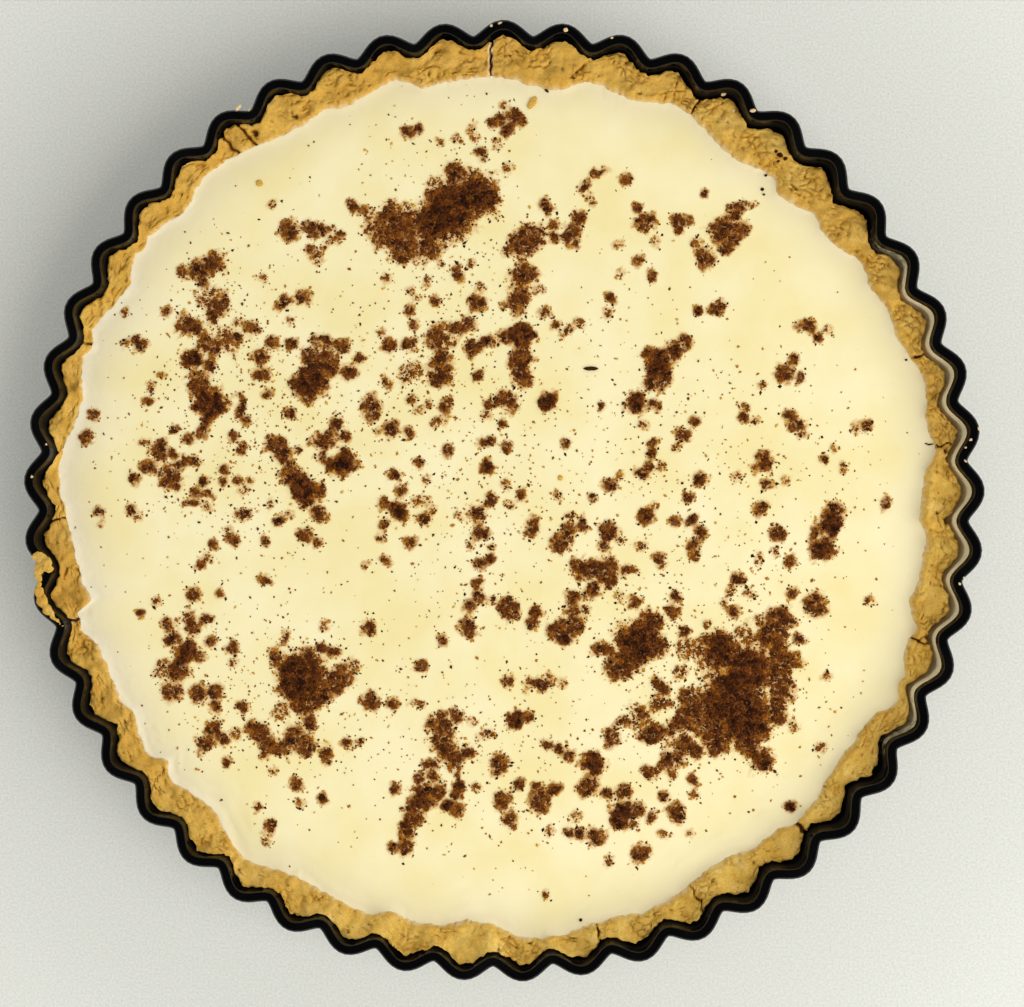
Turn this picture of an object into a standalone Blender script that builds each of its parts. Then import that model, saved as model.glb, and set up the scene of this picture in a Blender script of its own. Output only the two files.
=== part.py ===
"""Custard tart baked in its fluted tin: a dished steel tin with a rolled rim, the
shortcrust case that lines it, and the custard, dusted with drifts of cinnamon.

Units are metres, +Z is up, and the origin is the middle of the tin's underside.
"""

import math

import bmesh
import bpy
from mathutils import Matrix, Vector, noise

MM = 0.001

# The tin: pressed steel sheet, fluted wall, rim rolled outwards round a wire.
TIN_DIAMETER = 280.0 * MM       # across the rolled rim, from flute crest to flute crest
TIN_HEIGHT = 30.0 * MM
SHEET = 0.6 * MM
BEAD_RADIUS = 1.5 * MM
FLUTES = 49
FLUTE_PHASE = math.radians(1.2)  # where the first flute crest stands, from +X
FLUTE_DEPTH_RIM = 4.45 * MM
FLUTE_DEPTH_BASE = 3.4 * MM
WALL_LEAN = 5.4 * MM            # how much further out the wall stands at the rim
BEAD_ARC = (-45, 0, 45, 90, 135, 180)  # degrees round the bead, from under it to its inside
UNDER_BEAD = 3.3 * MM           # where the wall's outside meets the bead, below the rim

# The pastry case.
BASE_THICKNESS = 5.0 * MM
CRUST_TOP = 26.1 * MM           # mean height of the crumbly rim
CRUST_LEFT_DROP = 1.0 * MM      # the rim is this much lower on the -X side
CRUST_SHOULDER = 0.6 * MM       # drop of the rim's outer edge
CRUST_STATIONS = (0.88, 0.64, 0.4, 0.17)  # places across the rim, 1 at its outer edge
CRUST_MIN_WIDTH = 2.4 * MM
CRAG_HEIGHT = 1.5 * MM
CRAG_SIZE = 5.5 * MM
SHRINK_LEFT = 0.1 * MM          # how far the baked rim has drawn back from the tin
SHRINK_RIGHT = 1.3 * MM
WALL_TAPER = 2.0 * MM           # how much thicker the pastry wall is at its foot

# The custard.
CUSTARD_LEVEL = 23.6 * MM       # height of its surface at the crust
CUSTARD_SWELL = 0.3 * MM        # how much higher it stands in the middle
LEFT_RISE = 0.5 * MM            # it set a little higher on the -X side
RIPPLE_HEIGHT = 0.12 * MM
RIPPLE_SIZE = 26.0 * MM
CUSTARD_THINNING = ((0.955, 3), (0.72, 2), (0.38, 1))  # share of the radius, columns in one

GAP = 0.3 * MM                  # clearance between touching pieces
SIDE_GAP = 0.4 * MM             # the same along the wavy side, measured along the radius
COLUMNS = FLUTES * 6            # columns of faces round every piece

# The crust's inner edge, where its bulges and hollows turn: degrees from +X, radius in mm.
CRUST_EDGE = (
    (2, 123.2), (7, 127.8), (10, 126.5), (16, 128.6), (22.5, 125.2), (26, 126.0), (30, 124.8),
    (33, 126.0), (39, 122.3), (41.5, 123.7), (47.5, 121.2), (50, 123.4), (55.5, 121.3),
    (66, 126.7), (72, 123.6), (78, 125.6), (82, 121.3), (92, 124.7), (100, 123.7), (104, 127.4),
    (111.5, 124.7), (114, 126.3), (118, 125.0), (132.5, 129.5), (137, 126.5), (144.5, 130.8),
    (150, 126.9), (159, 131.1), (167.5, 127.3), (175, 131.0), (187.5, 126.7), (190, 126.0),
    (193.5, 124.3), (195.5, 131.0), (200, 126.5), (204, 126.1), (208, 126.7), (210, 125.4),
    (216, 128.2), (218, 124.7), (220, 127.6), (226.5, 124.3), (234.5, 129.5), (242, 126.0),
    (253, 127.8), (255, 125.2), (260, 126.8), (267, 123.6), (275, 129.0), (287, 126.5),
    (290, 127.6), (302.5, 123.4), (306.5, 126.0), (310, 125.2), (312.5, 127.8), (324, 124.6),
    (329, 125.2), (334, 130.2), (341, 125.6), (342.5, 127.2), (346.5, 122.8), (349.5, 124.5),
    (355, 124.8), (357.5, 122.6),
)

# Height of the crust's outer edge, which creeps up the tin in places: degrees from +X, mm.
CRUST_OUTER_EDGE = (
    (0, 25.2), (60, 25.7), (85, 27.6), (130, 27.2), (165, 25.6), (200, 25.6), (235, 27.2),
    (270, 27.6), (290, 26.4), (320, 25.4),
)

# Radial cracks that part the crust's rim: degrees from +X, depth in mm.
CRUST_CRACKS = ((19, 1.6), (63.5, 1.8), (91, 2.4), (127, 2.4), (159, 2.0), (182.6, 1.6),
                (195.5, 2.4), (283, 1.8), (312.7, 2.6))
CRACK_REACH = math.radians(0.65)

# Cinnamon lies in low drifts. Each lobe of a drift is x, y, half length, half width in mm,
# and its turn in degrees.
CINNAMON_DRIFTS = {
    "back": ((-8, 90, 7.5, 6, 20), (-17, 86, 9, 7, 15), (-31, 80, 8, 6.5, 0), (-54, 81, 4.5, 2.4, 0)),
    "back_chain": ((8, 76.5, 6.5, 4.2, 35), (6.5, 63, 3.8, 6, 0), (7, 49, 3.8, 3.6, 0),
                   (7, 40, 3.4, 4.6, 0)),
    "back_right": ((65.5, 77, 4.8, 5.6, 0), (3, 112, 4.2, 2.8, 0)),
    "left_back": ((-87, 70, 5.6, 3.4, 10), (-83, 57, 5.4, 2.8, 60), (-86.5, 31, 5, 5.6, 0),
                  (-55, 38, 5, 6.8, -20)),
    "left": ((-101, 11, 3.6, 6, -20), (-65, 15, 3, 4.6, -20), (-58, 4, 4.4, 3.6, 0),
             (-46, 11.5, 3.5, 3.5, 0)),
    "middle": ((-17.5, 43, 3.6, 7, 0), (-30, -3, 5, 2.8, -10), (-6, -6, 2.8, 4.6, 0),
               (29, -21, 5.6, 4, -10)),
    "right": ((46, 40, 4.2, 4.2, 0), (41, 29, 3.4, 3.2, 0), (97, -5, 3.4, 5, 0),
              (94.5, -14, 3.4, 3.4, 0)),
    "front_right": ((42, -41, 6.4, 6.2, 0), (35.5, -47.5, 4.6, 3.8, 0), (64, -43.5, 5, 4.6, 0),
                    (71, -53, 8, 8.6, 0), (71, -65, 8.4, 6, 0), (80, -38, 4.8, 5, -30),
                    (77, -76, 3.6, 3.4, 0), (52, -74, 4, 4.4, -40), (36, -92.5, 4.4, 3.6, 0),
                    (27.5, -80.5, 3.6, 5.6, 0)),
    "front_left": ((-93, -47, 4, 9, 12), (-57, -54, 7.6, 6.4, -20), (-47, -53, 3.8, 3.6, 0),
                   (-84.5, -69, 4, 3.8, 0), (-68, -71, 5.4, 4, 0), (-55, -70.5, 5, 3.4, -40)),
    "front": ((-16, -69, 3.8, 6.6, 0), (-21.5, -87, 4.6, 3.4, 20), (-26.5, -95, 3.2, 5, 15)),
}
DRIFT_HEIGHT_SHARE = 0.13       # height of a lobe for its half width
DRIFT_SINK_SHARE = 0.25         # share of that height that lies under the surface
LOBE_SIDES = 9
LOBE_RINGS = 4


def clear_scene():
    """Remove every object that the scene holds."""
    for item in list(bpy.data.objects):
        bpy.data.objects.remove(item, do_unlink=True)


def make_material(name, colour, roughness, metallic=0.0):
    """Return a plain Principled material of one linear colour."""
    material = bpy.data.materials.new(name)
    material.use_nodes = True
    shader = material.node_tree.nodes["Principled BSDF"]
    shader.inputs["Base Color"].default_value = (*colour, 1.0)
    shader.inputs["Roughness"].default_value = roughness
    shader.inputs["Metallic"].default_value = metallic
    material.diffuse_color = (*colour, 1.0)
    return material


def polar(radius, angle, height):
    """Return the point at a radius, an angle from +X and a height."""
    return Vector((radius * math.cos(angle), radius * math.sin(angle), height))


def flute_depth(height):
    """Return how deep the flutes are at a height, from crest to trough."""
    return FLUTE_DEPTH_BASE + (FLUTE_DEPTH_RIM - FLUTE_DEPTH_BASE) * height / TIN_HEIGHT


def tin_inside(angle, height):
    """Return the radius of the tin wall's inner face."""
    crest = TIN_DIAMETER / 2 - 2 * BEAD_RADIUS - WALL_LEAN * (1 - height / TIN_HEIGHT)
    wave = math.cos(FLUTES * (angle - FLUTE_PHASE))
    return crest - flute_depth(height) * (1 - wave) / 2


def beside_wall(angle, height, distance, level):
    """Return a point square out from the wall's inner face.

    The face is taken at a height, and the point lies at a level of its own.
    """
    radius = tin_inside(angle, height)
    slope = -FLUTES * math.sin(FLUTES * (angle - FLUTE_PHASE)) * flute_depth(height) / 2
    outward = (radius * polar(1.0, angle, 0.0)
               - slope * polar(1.0, angle + math.pi / 2, 0.0)).normalized()
    return polar(radius, angle, level) + distance * outward


def eased(marks, angle):
    """Return a length at an angle, eased between marks of degrees and millimetres."""
    degrees = math.degrees(angle) % 360
    first, last = marks[0], marks[-1]
    closed = [(last[0] - 360, last[1]), *marks, (first[0] + 360, first[1])]
    for (start, value_a), (end, value_b) in zip(closed, closed[1:]):
        if start <= degrees <= end:
            share = (1 - math.cos(math.pi * (degrees - start) / (end - start))) / 2
            return (value_a + (value_b - value_a) * share) * MM
    raise ValueError("the marks leave a gap")


def rightness(angle):
    """Return 1 at the +X side of the tart, 0 at the -X side."""
    return (1 + math.cos(angle)) / 2


def crust_outside(angle, height):
    """Return the radius of the pastry's outer face, which has drawn back near the rim."""
    share = max(0.0, min(1.0, height / CRUST_TOP))
    shrink = SHRINK_LEFT + (SHRINK_RIGHT - SHRINK_LEFT) * rightness(angle)
    return tin_inside(angle, height) - SIDE_GAP - shrink * share


def crust_inside(angle):
    """Return the radius of the crust's inner edge, never too close to its outer face."""
    return min(eased(CRUST_EDGE, angle), crust_outside(angle, CUSTARD_LEVEL) - CRUST_MIN_WIDTH)


def crack_depth(angle):
    """Return how deep a radial crack cuts the crust's rim at an angle."""
    depth = 0.0
    for degrees, crack in CRUST_CRACKS:
        offset = abs((angle - math.radians(degrees) + math.pi) % (2 * math.pi) - math.pi)
        depth = max(depth, crack * MM * max(0.0, 1 - offset / (2 * CRACK_REACH)))
    return depth


def crust_height(angle, radius, share):
    """Return the height of the crumbly rim at a share of the way out across it.

    It falls towards -X, climbs to its outer edge where that creeps up the tin, and has
    crags and cracks.
    """
    place = polar(radius, angle, 0.0) / CRAG_SIZE
    crag = noise.noise(place) + 0.5 * noise.noise(2.1 * place)
    middle = CRUST_TOP - CRUST_LEFT_DROP * (1 - rightness(angle))
    climb = eased(CRUST_OUTER_EDGE, angle) + CRUST_SHOULDER - middle
    return middle + climb * share ** 2 + CRAG_HEIGHT * crag - crack_depth(angle)


def custard_height(x, y):
    """Return the height of the custard's surface."""
    reach = math.hypot(x, y) / (TIN_DIAMETER / 2)
    ripple = noise.noise(Vector((x, y, 0.0)) / RIPPLE_SIZE)
    left = max(0.0, -x) / (TIN_DIAMETER / 2)
    return (CUSTARD_LEVEL + CUSTARD_SWELL * (1 - reach ** 2)
            + LEFT_RISE * left ** 2 + RIPPLE_HEIGHT * ripple)


def tin_rings():
    """Return the tin's rings, each a function from angle to point, outside first."""
    def wall(height, offset):
        return lambda angle: beside_wall(angle, height, offset, height)

    def bead(degrees):
        turn = math.radians(degrees)
        offset = BEAD_RADIUS * (1 + math.cos(turn))
        level = TIN_HEIGHT - BEAD_RADIUS * (1 - math.sin(turn))
        return lambda angle: beside_wall(angle, TIN_HEIGHT, offset, level)

    return [wall(0.0, SHEET), wall(TIN_HEIGHT - UNDER_BEAD, SHEET), *map(bead, BEAD_ARC),
            wall(SHEET, 0.0)]


def pastry_rings():
    """Return the pastry case's rings, up its outer face, over the rim and down inside."""
    foot = SHEET + GAP
    floor = foot + BASE_THICKNESS

    def outer(angle):
        return polar(crust_outside(angle, foot), angle, foot)

    def shoulder(angle):
        top = crust_height(angle, TIN_DIAMETER / 2, 1.0) - CRUST_SHOULDER
        return polar(crust_outside(angle, top), angle, top)

    def across(share):
        def ring(angle):
            inside = crust_inside(angle)
            radius = inside + (crust_outside(angle, CRUST_TOP) - inside) * share
            return polar(radius, angle, crust_height(angle, radius, share))
        return ring

    def lip(angle):
        return polar(crust_inside(angle), angle, custard_edge(angle) + GAP)

    def inner_foot(angle):
        return polar(crust_inside(angle) - WALL_TAPER, angle, floor)

    return [outer, shoulder, *map(across, CRUST_STATIONS), lip, inner_foot]


def custard_edge(angle):
    """Return the height of the custard where it meets the crust."""
    radius = crust_inside(angle)
    return custard_height(radius * math.cos(angle), radius * math.sin(angle))


def custard_rings():
    """Return the custard's two side rings, from its foot to its edge."""
    foot = SHEET + GAP + BASE_THICKNESS + GAP

    def bottom(angle):
        return polar(crust_inside(angle) - WALL_TAPER - SIDE_GAP, angle, foot)

    def edge(angle):
        radius = crust_inside(angle) - SIDE_GAP
        return polar(radius, angle, custard_height(radius * math.cos(angle),
                                                   radius * math.sin(angle)))
    return [bottom, edge]


def place_ring(verts, ring, turns):
    """Move a ring's vertices to where the ring's function puts their column's angle."""
    for vert in verts:
        vert.co = ring(vert[turns])


def turned_body(mesh, rings):
    """Fill a bmesh with a capped foot and a wall extruded from ring to ring.

    The first column is turned from +Y, where a circle starts, to the first flute's
    crest, and every vertex remembers its column's angle. Returns the last ring's edges.
    """
    turns = mesh.verts.layers.float.new("turn")
    first_crest = Matrix.Rotation(FLUTE_PHASE - math.pi / 2, 4, "Z")
    foot = bmesh.ops.create_circle(mesh, cap_ends=True, segments=COLUMNS,
                                   radius=TIN_DIAMETER / 2, matrix=first_crest)
    for vert in foot["verts"]:
        vert[turns] = math.atan2(vert.co.y, vert.co.x)
    place_ring(foot["verts"], rings[0], turns)
    edges = list(mesh.edges)
    for ring in rings[1:]:
        grown = bmesh.ops.extrude_edge_only(mesh, edges=edges)["geom"]
        place_ring([item for item in grown if isinstance(item, bmesh.types.BMVert)], ring,
                   turns)
        edges = [item for item in grown
                 if isinstance(item, bmesh.types.BMEdge) and item.is_boundary]
    return edges


def finish(mesh, name, material, sharp_degrees=50):
    """Turn a bmesh into a smooth-shaded object whose faces point outwards."""
    bmesh.ops.recalc_face_normals(mesh, faces=mesh.faces)
    data = bpy.data.meshes.new(name)
    mesh.to_mesh(data)
    mesh.free()
    data.shade_smooth()
    data.set_sharp_from_angle(angle=math.radians(sharp_degrees))
    data.materials.append(material)
    item = bpy.data.objects.new(name, data)
    bpy.context.collection.objects.link(item)
    return item


def make_vessel(name, rings, material):
    """Make a piece whose wall goes up outside and comes down inside to a flat floor."""
    mesh = bmesh.new()
    edges = turned_body(mesh, rings)
    bmesh.ops.contextual_create(mesh, geom=edges)
    return finish(mesh, name, material)


def by_angle(verts):
    """Return vertices in the order of their angle round the middle."""
    return sorted(verts, key=lambda vert: math.atan2(vert.co.y, vert.co.x))


def thin_out(mesh, outer, share, ratio):
    """Add a ring further in, with one vertex for each few of the outer ring's.

    The new ring stands at a share of the custard's radius. Fans of triangles join it
    to the outer ring. Returns the new ring's vertices in order.
    """
    inner = []
    for vert in outer[::ratio]:
        angle = math.atan2(vert.co.y, vert.co.x)
        radius = crust_inside(angle) * share
        x, y = radius * math.cos(angle), radius * math.sin(angle)
        inner.append(mesh.verts.new((x, y, custard_height(x, y))))
    for step in range(len(inner)):
        here = inner[step]
        after = inner[(step + 1) % len(inner)]
        span = [outer[(step * ratio + more) % len(outer)] for more in range(ratio + 1)]
        middle = (ratio + 1) // 2
        for first, second in zip(span[:middle], span[1:middle + 1]):
            mesh.faces.new((first, second, here))
        mesh.faces.new((span[middle], after, here))
        for first, second in zip(span[middle:], span[middle + 1:]):
            mesh.faces.new((first, second, after))
    return inner


def make_custard_body(material):
    """Make the custard: its side, and a surface whose columns thin out to the middle."""
    mesh = bmesh.new()
    edges = turned_body(mesh, custard_rings())
    ring = by_angle({vert for edge in edges for vert in edge.verts})
    for share, ratio in CUSTARD_THINNING:
        ring = thin_out(mesh, ring, share, ratio)
    middle = mesh.verts.new((0.0, 0.0, custard_height(0.0, 0.0)))
    for here, after in zip(ring, ring[1:] + ring[:1]):
        mesh.faces.new((here, after, middle))
    return finish(mesh, "custard_filling", material)


def make_lobe(x, y, half_length, half_width, degrees, collection):
    """Make one low lobe of a cinnamon drift, sunk a little into the custard."""
    height = DRIFT_HEIGHT_SHARE * half_width * MM
    x, y = x * MM, y * MM
    centre = Vector((x, y, custard_height(x, y) - DRIFT_SINK_SHARE * height))
    place = (Matrix.Translation(centre) @ Matrix.Rotation(math.radians(degrees), 4, "Z")
             @ Matrix.Diagonal((half_length * MM, half_width * MM, height, 1.0)))
    mesh = bmesh.new()
    bmesh.ops.create_uvsphere(mesh, u_segments=LOBE_SIDES, v_segments=LOBE_RINGS,
                              radius=1.0, matrix=place)
    data = bpy.data.meshes.new("cinnamon_lobe")
    mesh.to_mesh(data)
    mesh.free()
    collection.objects.link(bpy.data.objects.new("cinnamon_lobe", data))


def dust_with_cinnamon(custard):
    """Fuse the cinnamon drifts to the custard they lie on."""
    collection = bpy.data.collections.new("cinnamon_drifts")
    bpy.context.scene.collection.children.link(collection)
    for lobes in CINNAMON_DRIFTS.values():
        for lobe in lobes:
            make_lobe(*lobe, collection)
    union = custard.modifiers.new("cinnamon", "BOOLEAN")
    union.operation = "UNION"
    union.operand_type = "COLLECTION"
    union.collection = collection
    union.solver = "EXACT"
    bpy.ops.object.select_all(action="DESELECT")
    bpy.context.view_layer.objects.active = custard
    custard.select_set(True)
    bpy.ops.object.modifier_apply(modifier=union.name)
    for item in list(collection.objects):
        bpy.data.objects.remove(item, do_unlink=True)
    bpy.data.collections.remove(collection)


def main():
    """Build the tin, the pastry case and the dusted custard."""
    clear_scene()
    coating = make_material("nonstick_black", (0.012, 0.012, 0.012), 0.28, 0.1)
    pastry = make_material("baked_shortcrust", (0.62, 0.36, 0.11), 0.85)
    custard = make_material("set_custard", (0.90, 0.80, 0.46), 0.42)
    make_vessel("tart_tin", tin_rings(), coating)
    make_vessel("pastry_case", pastry_rings(), pastry)
    dust_with_cinnamon(make_custard_body(custard))


main()
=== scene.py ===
"""The looks of a custard tart in its fluted tin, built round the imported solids.

The tin, the pastry case and the custard are modelled again at full detail, each over its
plain solid, and the dusting of cinnamon is scattered on the custard grain by grain. Every
length is in metres unless its name ends in _mm, +Z is up, and the origin is the middle of
the tin's underside.
"""

import logging
import math
from contextlib import contextmanager
from dataclasses import dataclass, field
from enum import Enum
from typing import Iterator

import bpy
import numpy as np
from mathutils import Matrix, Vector, noise


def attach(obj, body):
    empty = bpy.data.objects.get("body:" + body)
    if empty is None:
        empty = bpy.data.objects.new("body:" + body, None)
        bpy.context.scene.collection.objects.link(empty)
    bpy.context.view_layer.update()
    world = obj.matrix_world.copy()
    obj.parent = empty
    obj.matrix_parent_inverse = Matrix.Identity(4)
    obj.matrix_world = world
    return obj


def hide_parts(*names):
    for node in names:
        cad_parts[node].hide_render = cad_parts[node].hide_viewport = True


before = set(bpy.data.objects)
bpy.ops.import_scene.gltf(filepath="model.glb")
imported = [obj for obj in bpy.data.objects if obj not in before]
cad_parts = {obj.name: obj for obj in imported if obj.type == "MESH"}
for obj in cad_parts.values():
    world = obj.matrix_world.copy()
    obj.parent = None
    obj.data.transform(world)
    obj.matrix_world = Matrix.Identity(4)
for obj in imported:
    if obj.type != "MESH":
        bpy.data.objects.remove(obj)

MM = 0.001
BODY = "root"
LOG = logging.getLogger("custard_tart")


class Slot(Enum):
    """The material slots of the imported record."""

    TIN = "nonstick_tin"
    PASTRY = "shortcrust"
    CUSTARD = "custard"


# ------------------------------
# Tools for meshes
# ------------------------------

def deselect_all() -> None:
    """Leave edit mode and deselect every object."""
    if bpy.context.object and bpy.context.object.mode != "OBJECT":
        bpy.ops.object.mode_set(mode="OBJECT")
    bpy.ops.object.select_all(action="DESELECT")


@contextmanager
def edit_mode(item: bpy.types.Object) -> Iterator[None]:
    """Hold one object in edit mode, with nothing picked, for the length of a block."""
    deselect_all()
    item.select_set(True)
    bpy.context.view_layer.objects.active = item
    bpy.ops.object.mode_set(mode="EDIT")
    bpy.ops.mesh.select_mode(type="VERT")
    bpy.ops.mesh.select_all(action="DESELECT")
    yield
    bpy.ops.object.mode_set(mode="OBJECT")


def coordinates(item: bpy.types.Object) -> np.ndarray:
    """Return a mesh object's vertices as rows x, y, z."""
    flat = np.empty(len(item.data.vertices) * 3)
    item.data.vertices.foreach_get("co", flat)
    return flat.reshape(-1, 3)


def move_vertices(item: bpy.types.Object, points: np.ndarray) -> None:
    """Put a mesh object's vertices where rows x, y, z say."""
    item.data.vertices.foreach_set("co", points.astype(np.float32).ravel())
    item.data.update()


def set_attribute(item: bpy.types.Object, name: str, values: np.ndarray) -> None:
    """Store one number for each vertex, for a material to read."""
    attribute = item.data.attributes.new(name, "FLOAT", "POINT")
    attribute.data.foreach_set("value", values.astype(np.float32))


def add_grid(name: str, across: int, along: int) -> bpy.types.Object:
    """Add a flat square grid of side 1 in the middle of the scene.

    Args:
        name: the object's name.
        across: faces along X.
        along: faces along Y.

    Returns:
        The new object.
    """
    deselect_all()
    bpy.ops.mesh.primitive_grid_add(x_subdivisions=across, y_subdivisions=along, size=1)
    item = bpy.context.object
    item.name = item.data.name = name
    return item


def grid_turns(item: bpy.types.Object, rings: int) -> tuple[np.ndarray, np.ndarray]:
    """Return, for each vertex of a grid, its angle round Z and its ring when wrapped.

    Args:
        item: the grid, of side 1.
        rings: its count of vertex rows.

    Returns:
        The angles and the ring numbers.
    """
    flat = coordinates(item)
    return (flat[:, 0] + 0.5) * 2 * np.pi, np.rint((flat[:, 1] + 0.5) * (rings - 1)).astype(int)


def close_round(item: bpy.types.Object) -> None:
    """Join the seam of a sheet that was wrapped round, and cap its two open ends."""
    with edit_mode(item):
        bpy.ops.mesh.select_all(action="SELECT")
        bpy.ops.mesh.remove_doubles(threshold=0.001 * MM)
        bpy.ops.mesh.select_all(action="SELECT")
        bpy.ops.mesh.fill_holes(sides=0)
        bpy.ops.mesh.select_all(action="SELECT")
        bpy.ops.mesh.normals_make_consistent(inside=False)


def shade_smooth(item: bpy.types.Object, sharp_degrees: float) -> None:
    """Shade a piece smoothly, apart from its edges that are sharper than an angle."""
    deselect_all()
    item.select_set(True)
    bpy.context.view_layer.objects.active = item
    bpy.ops.object.shade_smooth_by_angle(angle=math.radians(sharp_degrees))


def noise_at(points: np.ndarray, size: float, shift: float = 0.0) -> np.ndarray:
    """Return smooth noise, about -1 to 1, with lumps of a size, at each point."""
    return np.array([noise.noise(point) for point in (points / size + shift).tolist()])


def cell_border(points: np.ndarray, size: float) -> np.ndarray:
    """Return how far each point is from the border between crumb cells, 0 on it."""
    pairs = [noise.voronoi(point)[0][:2] for point in (points / size).tolist()]
    return np.array([second - first for first, second in pairs])


def smooth_step(low: float, high: float, value: np.ndarray) -> np.ndarray:
    """Return 0 below low, 1 above high, and an eased value between them."""
    share = np.clip((value - low) / (high - low), 0.0, 1.0)
    return share * share * (3 - 2 * share)


def eased(marks: tuple[tuple[float, float], ...], angle: np.ndarray) -> np.ndarray:
    """Return a length at each angle, eased between marks of degrees and millimetres."""
    rows = np.array([marks[-1], *marks, marks[0]], float)
    rows[0, 0] -= 360
    rows[-1, 0] += 360
    degrees = np.degrees(angle) % 360
    step = np.searchsorted(rows[:, 0], degrees, side="right") - 1
    start, end = rows[step], rows[step + 1]
    share = (1 - np.cos(np.pi * (degrees - start[:, 0]) / (end[:, 0] - start[:, 0]))) / 2
    return (start[:, 1] + (end[:, 1] - start[:, 1]) * share) * MM


def ring_points(radius: np.ndarray, angle: np.ndarray, height: np.ndarray) -> np.ndarray:
    """Return points as rows x, y, z from radius, angle and height."""
    return np.stack([radius * np.cos(angle), radius * np.sin(angle),
                     np.broadcast_to(height, angle.shape)], axis=1)


def on_plane(x: np.ndarray, y: np.ndarray) -> np.ndarray:
    """Return places x, y as rows x, y, 0."""
    return np.stack([x, y, np.zeros_like(x)], axis=1)


def dress(item: bpy.types.Object, slot: Slot, material: bpy.types.Material,
          *nodes: str) -> None:
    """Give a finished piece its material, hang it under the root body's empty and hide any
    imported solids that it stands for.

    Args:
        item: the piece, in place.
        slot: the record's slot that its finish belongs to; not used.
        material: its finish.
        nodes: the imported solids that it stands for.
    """
    item.data.materials.clear()
    item.data.materials.append(material)
    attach(item, BODY)
    if nodes:
        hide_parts(*nodes)
    LOG.info("%s: %d faces", item.name, len(item.data.polygons))


# ------------------------------
# Tools for materials
# ------------------------------

Colour = tuple[float, float, float, float]

# What a mix of two colours is set to, and the range that most of a noise pattern lies in.
OF_COLOURS = {"output": 2, "data_type": "RGBA"}
MOST_OF_IT = {"From Min": 0.3, "From Max": 0.7}


def linear(code: str) -> Colour:
    """Return the linear colour of an sRGB hex code such as #F6E7B0."""
    values = [int(code[start:start + 2], 16) / 255 for start in (1, 3, 5)]
    return (*(v / 12.92 if v <= 0.04045 else ((v + 0.055) / 1.055) ** 2.4 for v in values), 1.0)


def add_node(tree: bpy.types.NodeTree, kind: str, inputs: dict | None = None,
             output: int | str = 0, stops: tuple[tuple[float, str], ...] = (),
             **settings) -> bpy.types.NodeSocket:
    """Add a shader node, set it up and link it.

    Args:
        tree: the node tree.
        kind: the node's type, without its "ShaderNode".
        inputs: for each input's name or number, a value or the socket to link.
        output: the name or number of the output to return.
        stops: for a colour ramp, its positions and hex colours.
        settings: the node's own properties.

    Returns:
        The chosen output.
    """
    node = tree.nodes.new("ShaderNode" + kind)
    for name, value in settings.items():
        setattr(node, name, value)
    for name, value in (inputs or {}).items():
        if isinstance(value, bpy.types.NodeSocket):
            tree.links.new(value, node.inputs[name])
        else:
            node.inputs[name].default_value = value
    for number, (position, code) in enumerate(stops):
        elements = node.color_ramp.elements
        element = elements[number] if number < 2 else elements.new(position)
        element.position, element.color = position, linear(code)
    return node.outputs[output]


def new_material(name: str) -> tuple[bpy.types.Material, bpy.types.NodeTree, bpy.types.Node]:
    """Return a new material, its node tree and its main shader."""
    material = bpy.data.materials.new(name)
    material.use_nodes = True
    return material, material.node_tree, material.node_tree.nodes["Principled BSDF"]


def pattern(place: bpy.types.NodeSocket, size_mm: float) -> dict:
    """Return the inputs that give a pattern its place and its real size in millimetres."""
    return {"Vector": place, "Scale": 1 / (size_mm * MM)}


def link_inputs(tree: bpy.types.NodeTree, node: bpy.types.Node,
                sources: dict[str, bpy.types.NodeSocket]) -> None:
    """Link sockets to a node's inputs by name."""
    for name, source in sources.items():
        tree.links.new(source, node.inputs[name])


# ------------------------------
# Finishes
# ------------------------------

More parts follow.
